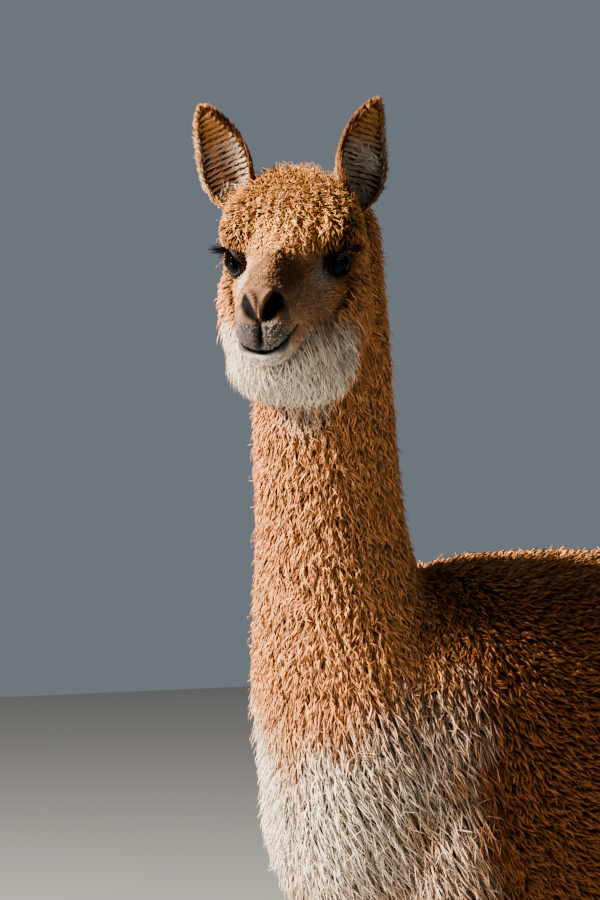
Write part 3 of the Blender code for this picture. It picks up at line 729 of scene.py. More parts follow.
# Where the short hair of the face begins: a key is (above, ahead) on the head's axes.
FACE_EDGE = [
    (-0.120, 0.178),
    (-0.075, 0.185),
    (-0.055, 0.165),
    (-0.040, 0.132),
    (-0.020, 0.104),
    (0.000, 0.084),
    (0.022, 0.080),
    (0.034, 0.098),
    (0.042, 0.124),
    (0.060, 0.138),
]
# The edge of the forelock on the brow: a key is (aside, ahead).
FORELOCK_EDGE = [(0.0, 0.161), (0.020, 0.152), (0.030, 0.134), (0.050, 0.104), (0.065, 0.085)]


def face_share(head):
    """0 in the wool of the head, 1 in the short hair of the face."""
    ahead, aside, above = head.T
    side_edge = np.interp(above, *np.array(FACE_EDGE).T)
    brow_edge = np.interp(np.abs(aside), *np.array(FORELOCK_EDGE).T)
    edge = side_edge + (brow_edge - side_edge) * smooth_step((above - 0.016) / 0.012)
    return smooth_step((ahead - edge) / 0.014 + 0.5)


def head_side(head):
    """0 on the neck and 1 on the head, by a slanting plane through the throat and the nape."""
    return smooth_step((0.643 * (head[:, 0] - 0.010) + 0.766 * (head[:, 2] + 0.078)) / 0.030 + 0.5)


def coat_depth(world_points):
    """How far the hide lies under the tips of the coat: deepest in the bib, least on the face and feet."""
    x, y, z = world_points.T
    head = to_head(world_points)
    ahead, aside, above = head.T
    depth = np.interp(z, [0.00, 0.10, 0.28, 0.42, 0.55], [0.002, 0.0032, 0.006, 0.011, 0.015])
    neck = smooth_step((z - 0.74) / 0.12) * smooth_step((-0.20 - y) / 0.08)
    depth = depth + (0.0115 - depth) * neck
    bib = smooth_step((0.76 - z) / 0.08) * smooth_step((-0.24 - y) / 0.05) * smooth_step((z - 0.40) / 0.10)
    depth = depth + (0.019 - depth) * bib
    on_head = head_side(head)
    crown = smooth_step((above - 0.03) / 0.03)
    beard = smooth_step((-0.05 - above) / 0.03)
    wool = 0.0140 + 0.004 * crown + 0.006 * beard
    thin = np.interp(ahead, [0.055, 0.085, 0.110, 0.145], [1.0, 0.62, 0.30, 0.16])
    temple = smooth_step((np.abs(aside) - 0.028) / 0.020) * smooth_step((0.125 - ahead) / 0.03)
    thin += (1.15 - thin) * temple
    wool *= 1 - (1 - thin) * smooth_step(above / 0.02)
    depth = depth + (wool - depth) * on_head
    return depth + (0.0018 - depth) * face_share(head) * on_head


outer_head = to_head(outer_points)
sunk = np.maximum(coat_depth(outer_points), 0.0185 * head_side(outer_head))
sunk_points = outer_points - outer_normals * sunk[:, None]
hide.data.vertices.foreach_set("co", sunk_points.astype(np.float32).ravel())
hide.data.update()
for other in [head_skin, *ear_skins]:
    join = hide.modifiers.new("join", "BOOLEAN")
    join.operation = "UNION"
    join.solver = "MANIFOLD"
    join.object = other
    settled(hide)
    bpy.data.objects.remove(other)
hide.data.shade_smooth()


def in_ears(world_points):
    """Which places are on the ears."""
    found = np.zeros(len(world_points), bool)
    for word in EARS:
        turning, root = ear_stand(word)
        leaf = (to_head(world_points) - root) @ turning
        near = (np.abs(leaf[:, :2]) < 0.036).all(axis=1)
        found |= near & (leaf[:, 2] > 0.002) & (leaf[:, 2] < EAR_LENGTH + 0.02)
    return found


def skin_colour(points, pad, lips, dark):
    """The coat's own colours, darkened under the wool as painted shade of its depth, with dark ears, the
    bare nose and lips, and black painted shade in the nostrils, the lip's split and the mouth.
    """
    head = to_head(points)
    head[:, 1] -= muzzle_sway(head[:, 0])
    face = face_share(head) * head_side(head)
    # Half as bright under the wool and nearly full on the face: painted shade of the coat's depth.
    colour = coat_colour(points) * (0.50 + 0.45 * face)[:, None]
    colour = np.where(in_ears(points)[:, None], COLOURS["umber"] * 0.42, colour)
    colour = lay(colour, "nose", 0.9 * pad)
    colour = lay(colour, "lip", 0.95 * lips)
    # Black painted shade in the nostrils, the split of the lip and the mouth line.
    return lay(colour, "black", dark)


def painted_values(mesh, name):
    """The numbers of a named attribute, one for each vertex."""
    values = np.zeros(len(mesh.vertices), np.float32)
    mesh.attributes[name].data.foreach_get("value", values)
    return values.astype(float)


pad, lips, dark = (painted_values(hide.data, name) for name in ("pad", "lips", "dark"))
paint_on(hide.data, "coat_colour", skin_colour(places_of(hide.data), pad, lips, dark))
paint_on(hide.data, "bare", np.clip(1.2 * np.maximum(pad, lips), 0, 1) * (1 - dark))
blank, fill = material_of("hide", base_color=(0.4, 0.2, 0.1, 1), specular_ior_level=0.04)
bare_share = blank.painted("bare", output=2)
speckle = blank.noise(0.0012, detail=3)
toned_and_shaded = blank.painted("coat_colour").shaded(0.72 + 0.42 * speckle + 0.18 * blank.noise(0.012, detail=3))
relief = (1 - bare_share) * speckle + bare_share * blank.noise(0.0016, detail=2)
hide.data.materials.clear()
hide.data.materials.append(
    fill(base_color=toned_and_shaded, roughness=0.85 - 0.42 * bare_share, normal=relief.bump(0.35, 0.0007))
)
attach(hide, "root")
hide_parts(*FLESH, "ear_left", "ear_right")


# ---- Eyes ------------------------------------------------------------------------------------------
# Large globes set to the sides, nearly black, each with a bulging cornea over a dark iris and a
# long level pupil. They sit in the sockets, and only the part between the lids shows.
EYE_CENTRES = {"left": (np.array(left_eye), 1), "right": (np.array(right_eye), -1)}
EYE_RADIUS = 0.5 * (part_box("eye_left")[1].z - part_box("eye_left")[0].z) - 0.0003
CORNEA_HALF, CORNEA_RISE = math.radians(40), 0.0011
FISSURE_TILT = math.radians(16)  # the inner corner lies lower
PUPIL_ACROSS, PUPIL_UP, IRIS_EDGE = 0.44, 0.24, 0.66  # as angles from the gaze


def eye_axes(side):
    """An eye's own axes in the world: towards its inner corner, towards its brow, and out along its gaze."""
    gaze = unit(np.array([0.52, 0.85 * side, 0.06]))
    inner = np.array([1.0, 0, -math.tan(FISSURE_TILT)])
    inner = unit(inner - gaze * (inner @ gaze))
    brow = np.cross(gaze, inner) * side
    brow *= np.sign(brow[2])
    return np.stack([inner, brow, gaze]) @ HEAD_AXES


def on_eye(side_word, polar, turn, radius):
    """A place by its angle from the gaze, its turn round it from the inner corner, and its radius."""
    centre, side = EYE_CENTRES[side_word]
    inner, brow, gaze = eye_axes(side)
    level = np.cos(turn)[..., None] * inner + np.sin(turn)[..., None] * brow
    return centre + radius[..., None] * (np.cos(polar)[..., None] * gaze + np.sin(polar)[..., None] * level)


polar, turn = rounds(np.linspace(0.02, math.pi - 0.02, 40), 64)
for word in EYE_CENTRES:
    bulge = CORNEA_RISE * smooth_step(1.25 * (1 - polar / CORNEA_HALF))
    globe = mesh_piece("eyeball_" + word, *closed_grid(on_eye(word, polar, turn, EYE_RADIUS + bulge)))
    across, upright = polar * np.cos(turn), polar * np.sin(turn)
    pupil = smooth_step((1 - np.hypot(across / PUPIL_ACROSS, upright / PUPIL_UP)) / 0.12)
    iris = smooth_step((IRIS_EDGE - polar) / 0.06) * (1 - pupil)
    ring = np.concatenate([(iris * (0.6 + 0.4 * np.cos(40 * turn))).ravel(), [0, 0]])
    colour = np.array([0.0004, 0.0003, 0.0004]) + ring[:, None] * np.array([0.0008, 0.0005, 0.0004])
    paint_on(globe.data, "coat_colour", colour)
    blank, fill = material_of("eye_" + word, roughness=0.06, ior=1.13)
    shown = blank.painted("coat_colour")
    globe.data.materials.append(fill(base_color=shown, roughness=0.05 + 0.04 * blank.noise(0.002)))
    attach(globe, "root")
    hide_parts("eye_" + word)


# ---- Eyelids ---------------------------------------------------------------------------------------
# A thick dark rim of bare skin round each almond opening, rolled over against the globe, with a
# heavier fold above, running back under the hair of the face.
OPEN_ACROSS, OPEN_UP, OPEN_DOWN = math.radians(54), math.radians(34), math.radians(35)
LID_SHARES = np.array([0.0, 0.03, 0.07, 0.12, 0.18, 0.26, 0.36, 0.48, 0.62, 0.80, 1.0])
LID_LIFT = np.array([1, 6, 10, 13, 14, 14, 13, 10, 5, -3, -16]) / 10000
LID_THICK = 0.0012


def lid_edge(turn):
    """The opening's edge: an almond, as its angle across and its angle up from the gaze."""
    tall = np.where(np.sin(turn) > 0, OPEN_UP, OPEN_DOWN)
    narrowing = 1 - 0.16 * np.cos(turn) ** 4
    return OPEN_ACROSS * np.cos(turn), tall * np.sin(turn) * narrowing


def lid_place(side_word, share, turn):
    """A place on the lids, from their edge on the globe at share 0 to under the face's hair at 1."""
    across, upright = lid_edge(turn)
    polar = np.hypot(across, upright) * (1 + 0.30 * share) + math.radians(24) * share
    upper = smooth_step(np.sin(turn) * 1.4)
    lift = np.interp(share, LID_SHARES, LID_LIFT) * (1 + 0.55 * upper)
    return on_eye(side_word, polar, np.arctan2(upright, across), EYE_RADIUS + lift)


share, turn = rounds(LID_SHARES, 112)
for word, (centre, _) in EYE_CENTRES.items():
    rings = lid_place(word, share, turn)
    under = centre + (rings[::-1] - centre) * (1 - LID_THICK / EYE_RADIUS)
    loops = np.concatenate([rings, under])
    points = loops.reshape(-1, 3)
    lids = mesh_piece("eyelids_" + word, points, ring_quads(*loops.shape[:2], closed=True))
    from_edge = np.concatenate([share, share[::-1]]).ravel()
    edge_dark = smooth_step((0.80 - from_edge) / 0.35)
    paint_on(lids.data, "coat_colour", lay(coat_colour(points), "black", edge_dark))
    blank, fill = material_of("lid_" + word, specular_ior_level=0.1)
    shown = blank.painted("coat_colour")
    wrinkle = blank.noise(0.0011, detail=3)
    rough = 0.60 + 0.25 * wrinkle
    lids.data.materials.append(fill(base_color=shown, roughness=rough, normal=wrinkle.bump(0.4, 0.0005)))
    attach(lids, "root")


# ---- Locks -----------------------------------------------------------------------------------------
# The fleece hangs in thousands of thin crimped locks, each a tapering wisp of wool that bends over
# from its root and lies on its neighbours.
LOCK_PATCH = 0.003  # side of each lock's own patch on its piece's unwrap


def locks(
    name, roots, out, lie, length, rise, width, colour, place,
    rings=3, wave=0.0, swings=1.0, droop=0.0, seed=0,
):
    """One mesh of many locks, worked out as whole arrays.

    A lock's middle line goes length * t^1.12 along `lie` and rise * (1 - (1 - t)^2) - droop * t^2
    out, and swings from side to side by wave * sqrt(t) * sin(2 pi swings * t + its phase). A flat
    three-sided section stands round it, widest low down and nothing at the tip.
    """
    draw = np.random.default_rng(seed)
    count = len(roots)

    def each(value):
        """A size for each lock, from one number or one for each."""
        return np.broadcast_to(np.asarray(value, float), (count,))[:, None]

    t = np.linspace(0, 1, rings + 1)[None, :]
    side = np.cross(out, lie)
    phase = draw.uniform(-1.3, 1.3, (count, 1)) + 2.0 * ripple(roots, 0.018, seed + 1)[:, None]
    beat = 2 * math.pi * swings * t + phase
    swing = each(wave) * np.sqrt(t) * np.sin(beat)
    bob = 0.55 * each(wave) * np.sqrt(t) * np.cos(beat)
    forth = each(length) * t**1.12
    up = each(rise) * (1 - (1 - t) ** 2) - each(droop) * t**2 + bob
    line = roots[:, None] + lie[:, None] * forth[..., None] + out[:, None] * up[..., None]
    line += side[:, None] * swing[..., None]
    roll = draw.uniform(-0.8, 0.8, (count, 1, 1))
    flat = side[:, None] * np.cos(roll) + out[:, None] * np.sin(roll)
    proud = out[:, None] * np.cos(roll) - side[:, None] * np.sin(roll)
    broad = (each(width) * (0.72 + 0.5 * np.sin(math.pi * t**0.8)) * (1 - 0.6 * t**2))[..., None]
    body = [line - 0.5 * broad * flat, line + 0.5 * broad * flat, line + 0.38 * broad * proud]
    body = np.stack([part[:, :rings] for part in body], axis=2).reshape(count, 3 * rings, 3)
    points = np.concatenate([body, line[:, rings:]], axis=1)
    tip = 3 * rings
    each_lock = tip + 1
    quads = ring_quads(rings, 3)
    tips = [[tip - 3, tip - 2, tip], [tip - 2, tip - 1, tip], [tip - 1, tip - 3, tip]]
    triangles = np.array([*tips, [0, 2, 1]])
    first = (np.arange(count) * each_lock)[:, None, None]
    quads = (quads[None] + first).reshape(-1, 4)
    triangles = (triangles[None] + first).reshape(-1, 3)
    piece = mesh_piece(name, points.reshape(-1, 3), quads, triangles)
    rises = np.concatenate([np.repeat(t[0, :rings], 3), [1.0]])
    paint_on(piece.data, "rise", np.tile(rises, count))
    paint_on(piece.data, "coat_colour", np.repeat(colour, each_lock, axis=0))
    within = np.stack([np.concatenate([np.tile([0.0, 1.0, 0.5], rings), [0.5]]), rises], axis=1)
    places = (place[:, None] + LOCK_PATCH * within[None]).reshape(-1, 2)
    unwrap = piece.data.uv_layers.new(name="OFBake")
    unwrap.data.foreach_set("uv", places[corners_of(piece.data)].astype(np.float32).ravel())
    piece.data.materials.append(wool)
    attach(piece, "root")


blank, fill = material_of("wool", specular_ior_level=0.04)
risen = blank.painted("rise", output=2)
streak = blank.strands(0.0008, 0.005)
# Each lock darker towards its root: painted shade in the gaps between the locks; streak varies the tone
# along the strands.
toned_and_shaded = blank.painted("coat_colour").shaded((0.20 + 0.92 * risen**0.8) * (0.45 + 1.1 * streak))
wool = fill(base_color=toned_and_shaded, roughness=0.62 + 0.2 * streak, normal=streak.bump(0.8, 0.0009))


def square_place(across, along):
    """Places on the unwrap, kept inside its edges."""
    inside = np.clip(np.stack([across, along], axis=1), 0, 1)
    return inside * (1 - 2 * LOCK_PATCH) + LOCK_PATCH / 2


def scatter(form, faces, spacing, seed):
    """Even random places on some of a form's faces, as points and normals.

    Each face gets its area over spacing squared, rounded up or down by chance, spread over it by
    the golden steps of a plane.
    """
    draw = np.random.default_rng(seed)
    form_points, form_normals, quads = form
    quads = quads[faces]
    corner = form_points[quads]
    crossed = np.cross(corner[:, 2] - corner[:, 0], corner[:, 3] - corner[:, 1])
    area = 0.5 * np.linalg.norm(crossed, axis=1)
    number = (area / np.broadcast_to(spacing, area.shape) ** 2 + draw.random(len(area))).astype(int)
    face = np.repeat(np.arange(len(quads)), number)
    order = np.arange(len(face)) - np.repeat(np.cumsum(number) - number, number)
    start = draw.random((len(quads), 2))[face]
    u, v = ((start + order[:, None] * (0.7549, 0.5698)) % 1).T[..., None]
    shares = np.stack([(1 - u) * (1 - v), u * (1 - v), u * v, (1 - u) * v], axis=1)
    points = (corner[face] * shares).sum(axis=1)
    return points, unit((form_normals[quads][face] * shares).sum(axis=1))


def laid_along(way, normals):
    """Directions made to lie in the skin."""
    return unit(way - normals * (way * normals).sum(axis=1, keepdims=True))


def spun(lie, normals, angle):
    """Directions turned in the skin by an angle each."""
    angle = angle[:, None]
    return lie * np.cos(angle) + np.cross(normals, lie) * np.sin(angle)


def lie_of_coat(points, normals):
    """The way the coat lies: down the neck and legs, back and down over the trunk, swept back at the bib."""
    x, y, z = points.T
    head = to_head(points)
    ahead, aside, above = head.T
    side = np.tanh(x / 0.03)
    back = smooth_step((y + 0.25) / 0.16) * smooth_step((z - 0.40) / 0.12)
    rump = smooth_step((y - 0.30) / 0.12)
    way = np.tile([0.0, 0.12, -1.0], (len(x), 1))
    sweep = np.column_stack([0 * x, 1.0 - 0.75 * rump, -0.42 - 0.5 * rump])
    way += back[:, None] * (sweep - way)
    chest = smooth_step((0.74 - z) / 0.10) * smooth_step((-0.20 - y) / 0.06)
    chest *= smooth_step((z - 0.38) / 0.1)
    sweep = np.column_stack([0.35 * side, 0.42 + 0 * y, -1.0 + 0 * z])
    way += chest[:, None] * (sweep - way)
    crown = smooth_step((above - 0.015) / 0.02) * smooth_step((ahead + 0.015) / 0.02)
    swept = from_head(np.column_stack([0.8 + 0 * x, 3.0 * aside, -0.35 + 0 * x])) - HEAD_ORIGIN
    way += (crown * head_side(head))[:, None] * (swept - way)
    under = smooth_step((0.0 - above) / 0.03) * head_side(head)
    swept = from_head(np.column_stack([-0.42 + 0 * x, 0 * x, -1.0 + 0 * x])) - HEAD_ORIGIN
    way += under[:, None] * (swept - way)
    return laid_along(way, normals)


STAPLE = 0.010  # from one bundle of locks to the next


def crests(points, size, stretch, seed):
    """A soft random field like ripple's, drawn out on each axis by stretch, and its slope per size."""
    draw = np.random.default_rng(seed)
    total, slope = np.zeros(len(points)), np.zeros((len(points), 3))
    for _ in range(7):
        way = draw.normal(size=3)
        way *= draw.uniform(0.75, 1.3) * 2 * math.pi / (size * np.linalg.norm(way))
        way /= stretch
        beat = points @ way + draw.uniform(0, 2 * math.pi)
        total += np.sin(beat)
        slope += np.cos(beat)[:, None] * way
    return total / 3, slope * size / (6 * math.pi)


def fleece(
    name, form, faces, spacing, length, width, wave, swings, rings, place, seed,
    wild=0.35, lift=0.0012, gather=0.55, proud=0.0, stretch=(1, 1, 1.9),
):
    """The locks of one part of the body, grown from the hide so that their tips reach the outer form.

    length, width and wave give a size at each place. wild turns the locks about, gather draws them
    together into bundles that stretch draws out along each axis, and lift and proud raise the tips.
    """
    draw = np.random.default_rng(seed)
    points, normals = scatter(form, faces, spacing, seed)
    count = len(points)
    depth = coat_depth(points)
    sunk = 0.0005 if form is head_form else depth
    length = length(points) * draw.uniform(0.75, 1.25, count)
    width = width(points) * draw.uniform(0.75, 1.3, count)
    crest, slope = crests(points, STAPLE, stretch, 7)
    turn = wild * (0.7 * draw.normal(size=count) + 0.8 * ripple(points, 0.035, 9))
    lie = spun(lie_of_coat(points, normals), normals, turn)
    lie = laid_along(lie + gather * slope, normals)
    reach = depth * np.clip(0.86 + 0.10 * crest, 0.6, 1.05) + lift * draw.normal(size=count) + proud
    reach = np.maximum(reach, 0.0006)
    # Random tone, with painted light on the crests of the bundles and painted shade in the hollows between
    # them.
    tone_and_crest_light = 1 + 0.20 * draw.normal(size=count) + 0.22 * crest
    colour = coat_colour(points) * np.clip(tone_and_crest_light, 0.55, 1.5)[:, None]
    roots = points - normals * (sunk * np.ones(count))[:, None] - lie * (0.45 * length)[:, None]
    waves = {"rings": rings, "wave": wave(points), "swings": swings, "seed": seed}
    locks(name, roots, normals, lie, length, reach, width, colour, place(points), **waves)


# ---- Fleece ----------------------------------------------------------------------------------------
# Short dense crimped wool on the neck, trunk, tail and upper legs, long silky hair at the bib, curls
# on the crown. Each part of the body is a piece of its own, or two or four where it is large.
middle = outer_points[outer_form[2]].mean(axis=1)
mid_x, mid_y, mid_z = middle.T
middle_head = to_head(middle)
is_head = head_side(middle_head) > 0.5
is_face = is_head & (face_share(middle_head) > 0.6)
is_tail = (mid_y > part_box("tail")[0].y) & (np.abs(mid_x) < 0.056) & (mid_z > 0.585)
is_leg = (mid_z < 0.43) & ~is_tail
before_shoulder = mid_y < -0.215 + 0.35 * (mid_z - 0.85).clip(0)
is_neck = ~is_head & ~is_leg & (mid_z > 0.745) & before_shoulder
is_chest = ~is_head & ~is_leg & ~is_neck & (mid_y < -0.215)
is_trunk = ~(is_head | is_leg | is_neck | is_chest | is_tail)
HALVES = (("left", mid_x > 0, 1), ("right", mid_x <= 0, 0))  # name, faces, and what it adds to a seed


def upright_wrap(centre_y, low, high):
    """An unwrap round an upright line on the midline, `low` at its foot and `high` at its head."""

    def place(points):
        turn = np.arctan2(points[:, 0], points[:, 1] - centre_y) / (2 * math.pi) + 0.5
        return square_place(turn, (points[:, 2] - low) / (high - low))

    return place


def trunk_wrap(points):
    """An unwrap round the trunk's own long axis."""
    turn = np.arctan2(points[:, 0], points[:, 2] - 0.66) / (2 * math.pi) + 0.5
    return square_place(turn, (points[:, 1] + 0.25) / 0.80)


def head_wrap(points):
    """An unwrap round the head's own long axis."""
    head = to_head(points)
    turn = np.arctan2(head[:, 1], head[:, 2] + 0.02) / (2 * math.pi) + 0.5
    return square_place(turn, (head[:, 0] + 0.05) / 0.32)


def leg_wrap(points):
    """An unwrap round each leg, the right one in the first half of the square and the left in the second."""
    centre_y = np.where(points[:, 1] < 0, -0.235, 0.36)
    side = np.sign(points[:, 0])
    turn = np.arctan2(points[:, 0] - 0.098 * side, points[:, 1] - centre_y) / (2 * math.pi) + 0.5
    return square_place(0.5 * turn + 0.5 * (side > 0), points[:, 2] / 0.45)


def steady(value):
    """The same size everywhere."""
    return lambda points: np.full(len(points), value)


def by_height(heights, values):
    """A size that changes with height."""
    return lambda points: np.interp(points[:, 2], heights, values)


neck_length = by_height([0.74, 0.90, 1.05], [0.022, 0.0175, 0.0160])
neck_width = by_height([0.74, 0.90], [0.0025, 0.0022])
neck_wrap = upright_wrap(-0.33, 0.72, 1.22)
for word, half, more in HALVES:
    sizes = neck_length, neck_width, steady(0.0015)
    fleece(
        "neck_wool_" + word, outer_form, is_neck & half, 0.00335, *sizes, 0.7, 3, neck_wrap, 11 + more,
        wild=0.42,
    )
bib_length = by_height([0.44, 0.60, 0.70, 0.76], [0.030, 0.042, 0.030, 0.018])
bib_wrap = upright_wrap(-0.26, 0.42, 0.78)
for word, half, more in HALVES:
    sizes = bib_length, steady(0.0019), steady(0.0013)
    fleece(
        "bib_hair_" + word, outer_form, is_chest & half, 0.0041, *sizes, 0.6, 4, bib_wrap, 21 + more,
        wild=0.24, lift=0.003, gather=0.6,
    )
ahead_of_flank = mid_y < 0.12
trunk_parts = (("fore", ahead_of_flank, 0.00475, 0.0036, 31), ("hind", ~ahead_of_flank, 0.0062, 0.0044, 33))
for end, part, spacing, width, seed in trunk_parts:
    sizes = steady(0.0155), steady(width), steady(0.0012)
    for word, half, more in HALVES:
        fleece(
            f"trunk_wool_{end}_{word}", outer_form, is_trunk & half & part, spacing, *sizes, 0.5, 2,
            trunk_wrap, seed + more, wild=0.34, lift=0.0018, stretch=(1, 1.8, 1),
        )
sizes = steady(0.034), steady(0.0036), steady(0.003)
fleece("tail_wool", outer_form, is_tail, 0.0056, *sizes, 0.9, 4, upright_wrap(0.49, 0.58, 0.82), 41)
LEG_HEIGHTS = [0.0, 0.08, 0.25, 0.43]
sizes = (
    by_height(LEG_HEIGHTS, [0.006, 0.008, 0.012, 0.020]),
    by_height(LEG_HEIGHTS, [0.0022, 0.0030, 0.0042, 0.0056]),
    by_height([0.1, 0.43], [0.0004, 0.0020]),
)
for word, part, seed in (("fore", mid_y < 0, 51), ("hind", mid_y >= 0, 52)):
    part = is_leg & part & (mid_z > 0.006)
    spacing = np.interp(mid_z[part], [0.0, 0.10, 0.43], [0.0053, 0.0073, 0.0098])
    fleece("leg_hair_" + word, outer_form, part, spacing, *sizes, 0.8, 3, leg_wrap, seed, lift=0.0008)


def wool_of_head(points, crown, side, beard):
    """A size over the woolly part of the head: on the crown, on the cheeks and nape, and under the chin."""
    head = to_head(points)
    size = np.full(len(points), side)
    size += smooth_step((head[:, 2] - 0.03) / 0.03) * (crown - side)
    size *= 1 - 0.40 * bell(head, (0.060, 0.0, 0.075), (0.060, 0.040, 0.022))
    chin = smooth_step((-0.052 - head[:, 2]) / 0.03) * smooth_step((head[:, 0] - 0.02) / 0.04)
    size += chin * (beard - size)
    return size


def crown_inset(points):
    """How far a place on the crown lies in from the nape and from the cheeks."""
    head = to_head(points)
    return np.minimum(head[:, 0] - 0.010, head[:, 2] + 0.018)


is_beard = is_head & ~is_face & (middle_head[:, 2] < -0.048) & (middle_head[:, 0] > 0.050)
sizes = steady(0.044), steady(0.0012), steady(0.0010)
fleece(
    "beard", outer_form, is_beard, 0.0031, *sizes, 0.6, 5, head_wrap, 65,
    wild=0.10, lift=0.002, gather=0.7, stretch=(1, 1, 4),
)
on_crown = (middle_head[:, 0] > 0.038) & (middle_head[:, 2] > -0.012)
head_sizes = (
    lambda points: wool_of_head(points, 0.0140, 0.0140, 0.036) * (1 - 0.30 * face_share(to_head(points))),
    lambda points: wool_of_head(points, 0.0018, 0.0018, 0.0017),
    lambda points: wool_of_head(points, 0.0019, 0.0013, 0.0018),
)
low_part = is_head & ~is_face & ~is_beard & ~on_crown
fleece("cheek_wool", outer_form, low_part, 0.0036, *head_sizes, 0.7, 3, head_wrap, 61, wild=0.45, gather=0.8)
crown_sizes = (
    lambda points: head_sizes[0](points) * (0.35 + 0.65 * smooth_step(crown_inset(points) / 0.03)),
    *head_sizes[1:],
)
face_centres = head_points[head_quads].mean(axis=1)
face_middle = to_head(face_centres)
high_part = (face_middle[:, 0] > 0.012) & (face_middle[:, 2] > -0.016) & (face_share(face_middle) < 0.7)
fleece(
    "crown_wool", head_form, high_part, 0.00250, *crown_sizes, 1.1, 3, head_wrap, 62,
    wild=0.24, lift=0.0006, gather=1.5, proud=0.0004,
)


# ---- Face hair -------------------------------------------------------------------------------------
# Short straight hair that lies flat from the nose back over the bridge and cheeks, mere stubble on
# the lips and chin, and none on the nose pad or the lid rims.
def sown(form, faces, spacing, seed):
    """Scattered points with their normals and number, and a random draw for what varies among them."""
    points, normals = scatter(form, faces, spacing, seed)
    return points, normals, len(points), np.random.default_rng(seed + 1)


on_axes = face_middle - np.outer(muzzle_sway(face_middle[:, 0]), (0, 1, 0))
eye_gap = np.minimum(*(np.linalg.norm(face_centres - centre, axis=1) for centre, _ in EYE_CENTRES.values()))
bare_face = np.maximum.reduce(face_paint(plain[head_quads].mean(axis=1)))
hairy = (face_share(on_axes + (0.010, 0, 0)) > 0.25) & (bare_face < 0.5) & (eye_gap > EYE_RADIUS + 0.0012)
points, normals, count, draw = sown(head_form, hairy, 0.0019, 71)
ahead, aside, above = to_head(points).T
down = smooth_step((0.005 - above) / 0.04)
way = np.column_stack([-1 + 0.3 * down, 0.30 * np.tanh(aside / 0.012), 0.10 - 0.75 * down])
lie = spun(laid_along(way @ HEAD_AXES, normals), normals, 0.22 * draw.normal(size=count))
length = np.interp(ahead, [0.09, 0.14, 0.19, 0.225], [0.0105, 0.0085, 0.0055, 0.0028])
length = length * draw.uniform(0.7, 1.3, count)
colour = coat_colour(points) * (1 + 0.26 * draw.normal(size=count))[:, None].clip(0.4, 1.6)
rise = draw.uniform(0.0008, 0.0022, count) * np.interp(ahead, [0.10, 0.20], [1.6, 0.7])
roots, place = points - 0.0006 * normals, head_wrap(points)
locks("face_hair", roots, normals, lie, length, rise, 0.0011, colour, place, rings=2, wave=0.0002, seed=73)

# A haze of single fibres that stands up from the crown.
fuzzy = (face_middle[:, 2] > 0.052) & (face_middle[:, 0] > 0.0) & (face_middle[:, 0] < 0.10)
points, normals, count, draw = sown(head_form, fuzzy, 0.0036, 78)
lie = spun(lie_of_coat(points, normals), normals, 1.2 * draw.normal(size=count))
colour = coat_colour(points) * draw.uniform(0.8, 1.3, count)[:, None]
depth = coat_depth(points)
length = draw.uniform(0.005, 0.011, count)
rise = 0.4 * depth + draw.uniform(0.003, 0.009, count)
roots, place = points + 0.4 * depth[:, None] * normals, head_wrap(points)
locks("crown_fuzz", roots, normals, lie, length, rise, 0.0006, colour, place, wave=0.001, seed=80)

# The stubble of the lips, paler on the left half of the upper lip.
ahead, aside, above = on_axes.T
stubbled = (ahead > 0.205) & (above < -0.017) & (above > -0.062) & (np.abs(aside) > 0.0025)
stubbled &= mouth_line(on_axes) < 0.1
points, normals, count, draw = sown(head_form, stubbled, 0.0018, 75)
down = np.tile(-HEAD_AXES[2], (count, 1))
lie = spun(laid_along(down, normals), normals, 0.9 * draw.normal(size=count))
pale = np.where(to_head(points)[:, 1] > 0, 0.75, 0.22)[:, None]
colour = (COLOURS["cream"] * pale + COLOURS["lip"] * (1 - pale)) * draw.uniform(0.6, 1.15, count)[:, None]
rise = draw.uniform(0.0006, 0.0016, count)
length = draw.uniform(0.0018, 0.0036, count)
roots, place = points - 0.0003 * normals, head_wrap(points)
locks("lip_stubble", roots, normals, lie, length, rise, 0.00046, colour, place, rings=2, seed=77)


# ---- Lid hair and lashes ---------------------------------------------------------------------------
# Fine dark hair on the lids, and long dark lashes that sweep out and a little down from the upper lid.
for word, (centre, side) in EYE_CENTRES.items():
    draw = np.random.default_rng(81 + side)
    count = 900
    share, turn = draw.uniform(0.30, 1.0, count), draw.uniform(0, 2 * math.pi, count)
    points = lid_place(word, share, turn)
    normals = unit(points - centre)
    from_edge = laid_along(lid_place(word, share + 0.02, turn) - points, normals)
    way = from_edge + 0.8 * np.array([0, 0, -1.0]) + HEAD_AXES[0] * -0.5
    lie = spun(laid_along(way, normals), normals, 0.25 * draw.normal(size=count))
    colour = coat_colour(points) * draw.uniform(0.7, 1.15, count)[:, None]
    length = draw.uniform(0.004, 0.007, count)
    roots, place = points - 0.0004 * normals, square_place(turn / (2 * math.pi), share)
    waves = {"rings": 2, "seed": 83 + side}
    locks("lid_hair_" + word, roots, normals, lie, length, 0.0012, 0.0009, colour, place, **waves)

    count = 110
    turn = np.linspace(math.radians(24), math.radians(172), count) + 0.02 * draw.normal(size=count)
    share = draw.uniform(0.02, 0.09, count)
    points = lid_place(word, share, turn)
    inner, brow, gaze = eye_axes(side)
    fan = np.cos(turn)[:, None] * inner * 0.7 + (0.30 + 0.25 * np.sin(turn))[:, None] * brow
    way = unit(gaze + fan + 0.16 * draw.normal(size=(count, 3)) - 0.35 * np.array([0, 0, 1.0]))
    out = laid_along(brow, way)
    length = np.interp(turn, [0.4, 1.4, 2.4, 3.0], [0.010, 0.018, 0.024, 0.018])
    length = length * draw.uniform(0.75, 1.1, count)
    colour = np.tile(COLOURS["black"] * 1.3, (count, 1))
    place = square_place(turn / math.pi, share)
    waves = {"rings": 4, "wave": 0.0006, "swings": 0.4, "droop": 0.004, "seed": 85 + side}
    locks("lashes_" + word, points, out, way, length, 0.0012, 0.0008, colour, place, **waves)


